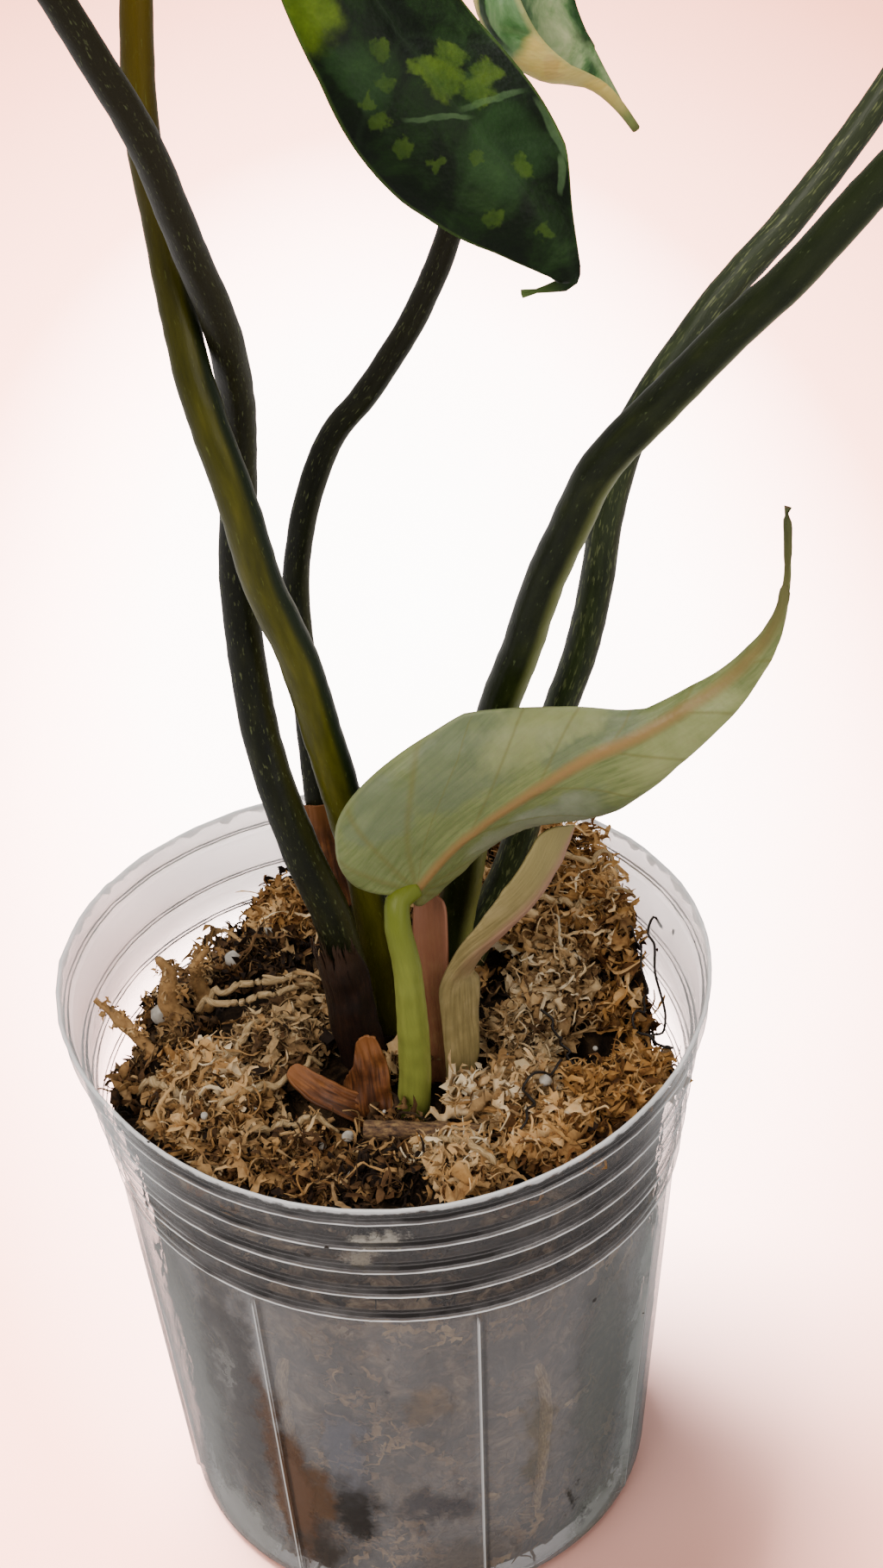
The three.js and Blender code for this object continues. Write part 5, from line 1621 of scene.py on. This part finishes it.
def makeMoss():
    rng = random.Random(moss["seed"])
    dry = driedSphagnum()
    bed = gridMesh("mossBed", 150, 150, mossBedShape, weld=True)
    addPiece("mossBed", bed, packedSphagnum(), "dried_sphagnum", "moss")
    crumples = [makeProto(f"crumple{i}", "crumple", rng) for i in range(14)]
    sprigs = [makeProto(f"sprig{i}", "sprig", rng) for i in range(12)]
    strands = [makeProto(f"strand{i}", "strand", rng) for i in range(12)]
    curls = [makeProto(f"curl{i}", "curl", rng) for i in range(7)]
    scatter("mossCrumples", crumples, topPlaces(moss["topCrumples"], rng, 1, 2.4, 0.4), dry)
    scatter("mossSprigs", sprigs, topPlaces(moss["topSprigs"], rng, 1.3, 1.8, 0.5), dry)
    scatter("mossStrands", strands, topPlaces(moss["topStrands"], rng, 2, 1.6, 0.35), dry)
    scatter("mossCurls", curls, topPlaces(moss["topCurls"], rng, 2.2, 0.6, 0.5), dry)
    scatter("mossAtWall", crumples, wallPlaces(moss["wallCrumples"], rng), dry)
    scatter("strandsAtWall", strands, wallPlaces(moss["wallStrands"], rng), dry)
    scatter("tuftScraps", crumples + sprigs, tuftPlaces(rng), dry)
    addPiece("tuftCores", joinMeshes("tuftCores", tuftCores()), dry, "dried_sphagnum")
    for proto in crumples + sprigs + strands + curls:
        bpy.data.meshes.remove(proto)


# Roots, twig, perlite and hairs

rhizome = {
    "spine": [[2, -28, 92], [3, -12, 94], [6, 6, 94], [9, 24, 91]],
    "radii": [6, 8, 6.5],
    "roots": [
        [[4, -24, 90], [16, -37, 74], [22.8, -42.6, 58], [23, -40.8, 38], [21, -39.6, 18]],
        [[2, -20, 90], [-14, -33, 80], [-24, -40, 64], [-24.2, -38.9, 44], [-23.6, -38.2, 24]],
        [[5, 0, 90], [-8, 6, 74], [-16, 12, 52], [-12, 20, 30]],
        [[8, 18, 88], [18, 28, 70], [26, 24, 46], [20, 14, 22]],
    ],
    "rootRadii": [2, 1.3, 1.2, 0.9],
}
twig = {
    "points": [[-5.5, -32.6, 113.4], [0, -33.6, 113.8], [7, -34.4, 113.6], [14.5, -35.2, 113.2]],
    "radii": [1.9, 1.7, 1.5],
}


loose = {
    "seed": 7,
    # Thin roots and hairs lie on the moss: x and y in mm, and how far they stand over it
    "paleRoots": [[[-35, 6], [-27, 3.5], [-18, 4], [-11, 7]], [[-33, 9], [-24, 7], [-15, 10]],
                  [[-31, -27], [-25, -22], [-17, -17], [-13, -13]], [[-27, -33], [-19, -31], [-11, -32]],
                  [[28, 31], [37, 29], [46, 31]], [[26, 24], [37, 21], [49, 24]],
                  [[-30, -12], [-24, -4], [-14, -2]], [[30, -14], [27, -9], [28, -2]],
                  [[-45, -14], [-38, -19], [-31, -20]], [[16, -48], [11, -43], [3, -44]]],
    "rootRadius": 0.6,
    "rootLift": 3.6,
    "rootWiggle": 0.35,
    "blackHairs": [[[20, -41], [24, -34], [22, -28], [28, -23], [31, -15], [33, -8]],
                   [[54, 21], [50, 16], [53, 8], [49.5, 0], [51.5, -7], [48, -12]],
                   [[52, -1], [46, 3], [49, 11], [46, 18]], [[29, 2], [33, -6], [31, -12]]],
    "hairRadius": 0.27,
    "hairLift": 4.3,
    "hairWiggle": 0.6,
    # Perlite grains: x, y, lift and radius
    "perlite": [[-28.6, 21, 2, 1.7], [-42.4, 12, 2, 2.1], [26.7, -25.5, 2.4, 1.1], [-8.5, -36.4, 2, 1],
                [-13, -37, 1.6, 0.8], [-22, 30, 2, 1.2], [-33, -30, 2, 0.7]],
    "crumbs": 22,
    "crumbReach": 50,
    "crumbSize": (0.25, 0.5),
}


def overMoss(points, lift, wiggle, rng):  # a line over the moss surface, with small bends
    path = byLength(splineThrough(points), 14)[0]
    path += np.array([[rng.gauss(0, wiggle), rng.gauss(0, wiggle)] for _ in path])
    height = mossHeight(path[:, 0], path[:, 1]) + lift
    height += np.array([rng.gauss(0, wiggle) for _ in path])
    height[[0, -1]] -= 0.7 * lift  # both ends dip into the moss
    return np.column_stack([path, height])


def makeLoose(skin):
    rng = random.Random(loose["seed"])
    radius, roots, hairs = loose["rootRadius"], [], []
    for i, points in enumerate(loose["paleRoots"]):
        line = overMoss(points, loose["rootLift"], loose["rootWiggle"], rng)
        shape = tubeShape(line, [radius, 1.2 * radius, radius, 0.6 * radius], bumps=0.3, seed=i)
        roots.append(gridMesh("paleRoot", 6, 40, shape, weld=True))
    addPiece("paleRoots", joinMeshes("paleRoots", roots), skin, "root")
    radius = loose["hairRadius"]
    for points in loose["blackHairs"]:
        line = overMoss(points, loose["hairLift"], loose["hairWiggle"], rng)
        hairs.append(gridMesh("blackHair", 5, 60, tubeShape(line, [radius, radius, 0.6 * radius]), weld=True))
    dark, _, shader = newMaterial("driedHairRoot", 0.6)  # old hair roots: near black and wiry
    shader.inputs["Base Color"].default_value = linear("#1b1410")
    addPiece("blackHairs", joinMeshes("blackHairs", hairs), dark, "root")
    spots = list(loose["perlite"])
    for _ in range(loose["crumbs"]):
        away, angle = loose["crumbReach"] * math.sqrt(rng.random()), rng.uniform(0, 2 * math.pi)
        lift, size = rng.uniform(-1, 1), rng.uniform(*loose["crumbSize"])
        spots.append((away * math.cos(angle), away * math.sin(angle), lift, size))
    bm = bmesh.new()
    for x, y, lift, size in spots:
        spot = Vector((x, y, float(mossHeight(x, y)) + lift + 1)) * mm
        place = Matrix.Translation(spot)
        grain = bmesh.ops.create_icosphere(bm, subdivisions=2, radius=size * mm, matrix=place)
        for vert in grain["verts"]:
            vert.co = spot + (vert.co - spot) * (1 + 0.3 * noise.noise(vert.co / mm * 0.9))
    mesh = finishMesh("perlite", bm)
    # Perlite: puffed white volcanic glass, matt and faintly dusty
    puffed, tree, shader = newMaterial("perliteGrain", 0.8)
    place = addNode(tree, "TexCoord").outputs["Object"]
    dust = addNode(tree, "TexNoise", links={"Vector": place}, values={"Scale": 500, "Detail": 3})
    colour = addNode(tree, "ValToRGB", links={0: dust.outputs["Fac"]},
                     stops=[(0.35, "#91897c"), (0.6, "#c8c2b7")])
    connect(tree, shader, {"Base Color": colour})
    addPiece("perlite", mesh, puffed, "dried_sphagnum")


def barkOf(name, stops, roughness):  # dry skin of roots and twigs, ringed and split lengthwise
    material, tree, shader = newMaterial(name, roughness)
    flat = addNode(tree, "UVMap", uv_map="flat")
    stretch = addNode(tree, "Mapping", values={"Scale": (9, 30, 1)}, links={"Vector": flat})
    grain = addNode(tree, "TexNoise", links={"Vector": stretch},
                    values={"Scale": 2, "Detail": 5, "Roughness": 0.65}).outputs["Fac"]
    colour = addNode(tree, "ValToRGB", links={0: grain}, stops=stops)
    bump = addNode(tree, "Bump", values={"Strength": 0.6, "Distance": 0.0004}, links={"Height": grain})
    connect(tree, shader, {"Base Color": colour, "Normal": bump})
    return material


def makeRoots():
    skin = barkOf("driedRoot", [(0.35, "#6a5030"), (0.5, "#a08257"), (0.65, "#cbb083")], 0.75)
    parts = [gridMesh("stock", 32, 40, tubeShape(rhizome["spine"], rhizome["radii"], 0.12, 4), weld=True)]
    parts += [gridMesh("root", 14, 60, tubeShape(points, rhizome["rootRadii"], 0.15, i), weld=True)
              for i, points in enumerate(rhizome["roots"])]
    addPiece("rootStock", joinMeshes("rootStock", parts), skin, "root", "rhizome")
    bark = barkOf("twigBark", [(0.35, "#33241a"), (0.5, "#6b5038"), (0.65, "#96794f")], 0.8)
    makeLoose(barkOf("paleRootlet", [(0.35, "#8a6f4a"), (0.5, "#b09468"), (0.65, "#c9b189")], 0.75))
    mesh = gridMesh("dryTwig", 18, 50, tubeShape(twig["points"], twig["radii"], 0.18, 9), weld=True)
    addPiece("dryTwig", mesh, bark, "dry_twig", "twig")


# Floor and light

studio = {
    "paper": [(0.0, "#fff2ec"), (0.08, "#ffe6df"), (0.115, "#f8c8bd"), (0.155, "#d19180"), (0.233, "#b97866"),
              (0.307, "#a46450"), (0.36, "#a0624f"), (0.55, "#dcb3a8"), (1.0, "#f2e4df")],
    "paperThrown": "#3c3a39",  # the paper's colour to all but the camera
    "paperMiddle": (0.02, 0.32),
    "paperReach": (1.02, 2.58),  # metres from the middle to where it is pale again, sideways and in depth
    "floorHalf": 3,
    "lights": [
        # name, place, aim, width, power, colour
        ("keyLight", (-0.7, -0.8, 1.4), (0, 0, 0.15), 0.9, 20, "#fff6ee"),
        ("topLight", (0.15, 0.5, 1.7), (0, 0, 0.15), 1.2, 14, "#ffffff"),
        ("fillLight", (0.9, -1.2, 0.9), (0, 0, 0.15), 1.2, 9, "#fff8f2"),
    ],
    "paperLight": ("paperLight", (-0.5, 0.5, 1.9), (0.05, 0.35, 0), 0.9, 560, "#ffffff"),
    "world": "#f6efec",
    "worldPower": 0.42,
    "backdropPower": 4.5,
}


def studioPaper():
    # Matt paper: near white in the middle, faintly pink round it and pale again further out.
    # It is bright to the eye, but throws little light back at the plant.
    material, tree, shader = newMaterial("studioPaper", 0.9)
    place = addNode(tree, "TexCoord").outputs["Object"]
    centred = addNode(tree, "VectorMath", operation="SUBTRACT", links={0: place},
                      values={1: (*studio["paperMiddle"], 0)})
    scaled = addNode(tree, "VectorMath", operation="DIVIDE", links={0: centred},
                     values={1: (*studio["paperReach"], 1)})
    away = addNode(tree, "VectorMath", operation="LENGTH", links={0: scaled}).outputs["Value"]
    colour = addNode(tree, "ValToRGB", links={0: away}, stops=studio["paper"])
    seen = addNode(tree, "LightPath").outputs["Is Camera Ray"]
    muted = addNode(tree, "Mix", data_type="RGBA", values={6: linear(studio["paperThrown"])},
                    links={0: seen, 7: colour}).outputs[2]
    connect(tree, shader, {"Base Color": muted})
    return material


def addLight(name, place, aim, width, power, colour):
    light = bpy.data.lights.new(name, "AREA")
    light.shape, light.size, light.energy = "SQUARE", width, power
    light.color = linear(colour)[:3]
    lamp = bpy.data.objects.new(name, light)
    lamp.location = place
    lamp.rotation_euler = (Vector(aim) - Vector(place)).to_track_quat("-Z", "Y").to_euler()
    bpy.context.collection.objects.link(lamp)
    return lamp


def makeStudio():
    bm = bmesh.new()
    bmesh.ops.create_grid(bm, x_segments=1, y_segments=1, size=studio["floorHalf"])
    floor = bpy.data.objects.new("floor", finishMesh("floor", bm))
    bpy.context.collection.objects.link(floor)
    floor.data.materials.append(studioPaper())
    for lightSettings in studio["lights"]:
        addLight(*lightSettings)
    # One lamp lights the paper alone, so that it goes near white round a softly lit plant
    paperLamp = addLight(*studio["paperLight"])
    paperOnly = bpy.data.collections.new("paperOnly")
    paperOnly.objects.link(floor)
    paperLamp.light_linking.receiver_collection = paperOnly
    world = bpy.data.worlds.new("studio")
    world.use_nodes = True
    tree = world.node_tree
    sky = tree.nodes["Background"]
    sky.inputs["Color"].default_value = linear(studio["world"])
    seen = addNode(tree, "LightPath").outputs["Is Camera Ray"]
    power = addNode(tree, "MapRange", links={0: seen},
                    values={3: studio["worldPower"], 4: studio["backdropPower"]})
    connect(tree, sky, {"Strength": power})
    bpy.context.scene.world = world


makePot()
print("pot made")
makeStalks()
print("stalks made")
makeBlades()
print("blades made")
makeBracts()
print("bracts made")
makeMoss()
print("moss made")
makeRoots()
print("roots made")
makeStudio()
print("studio made")
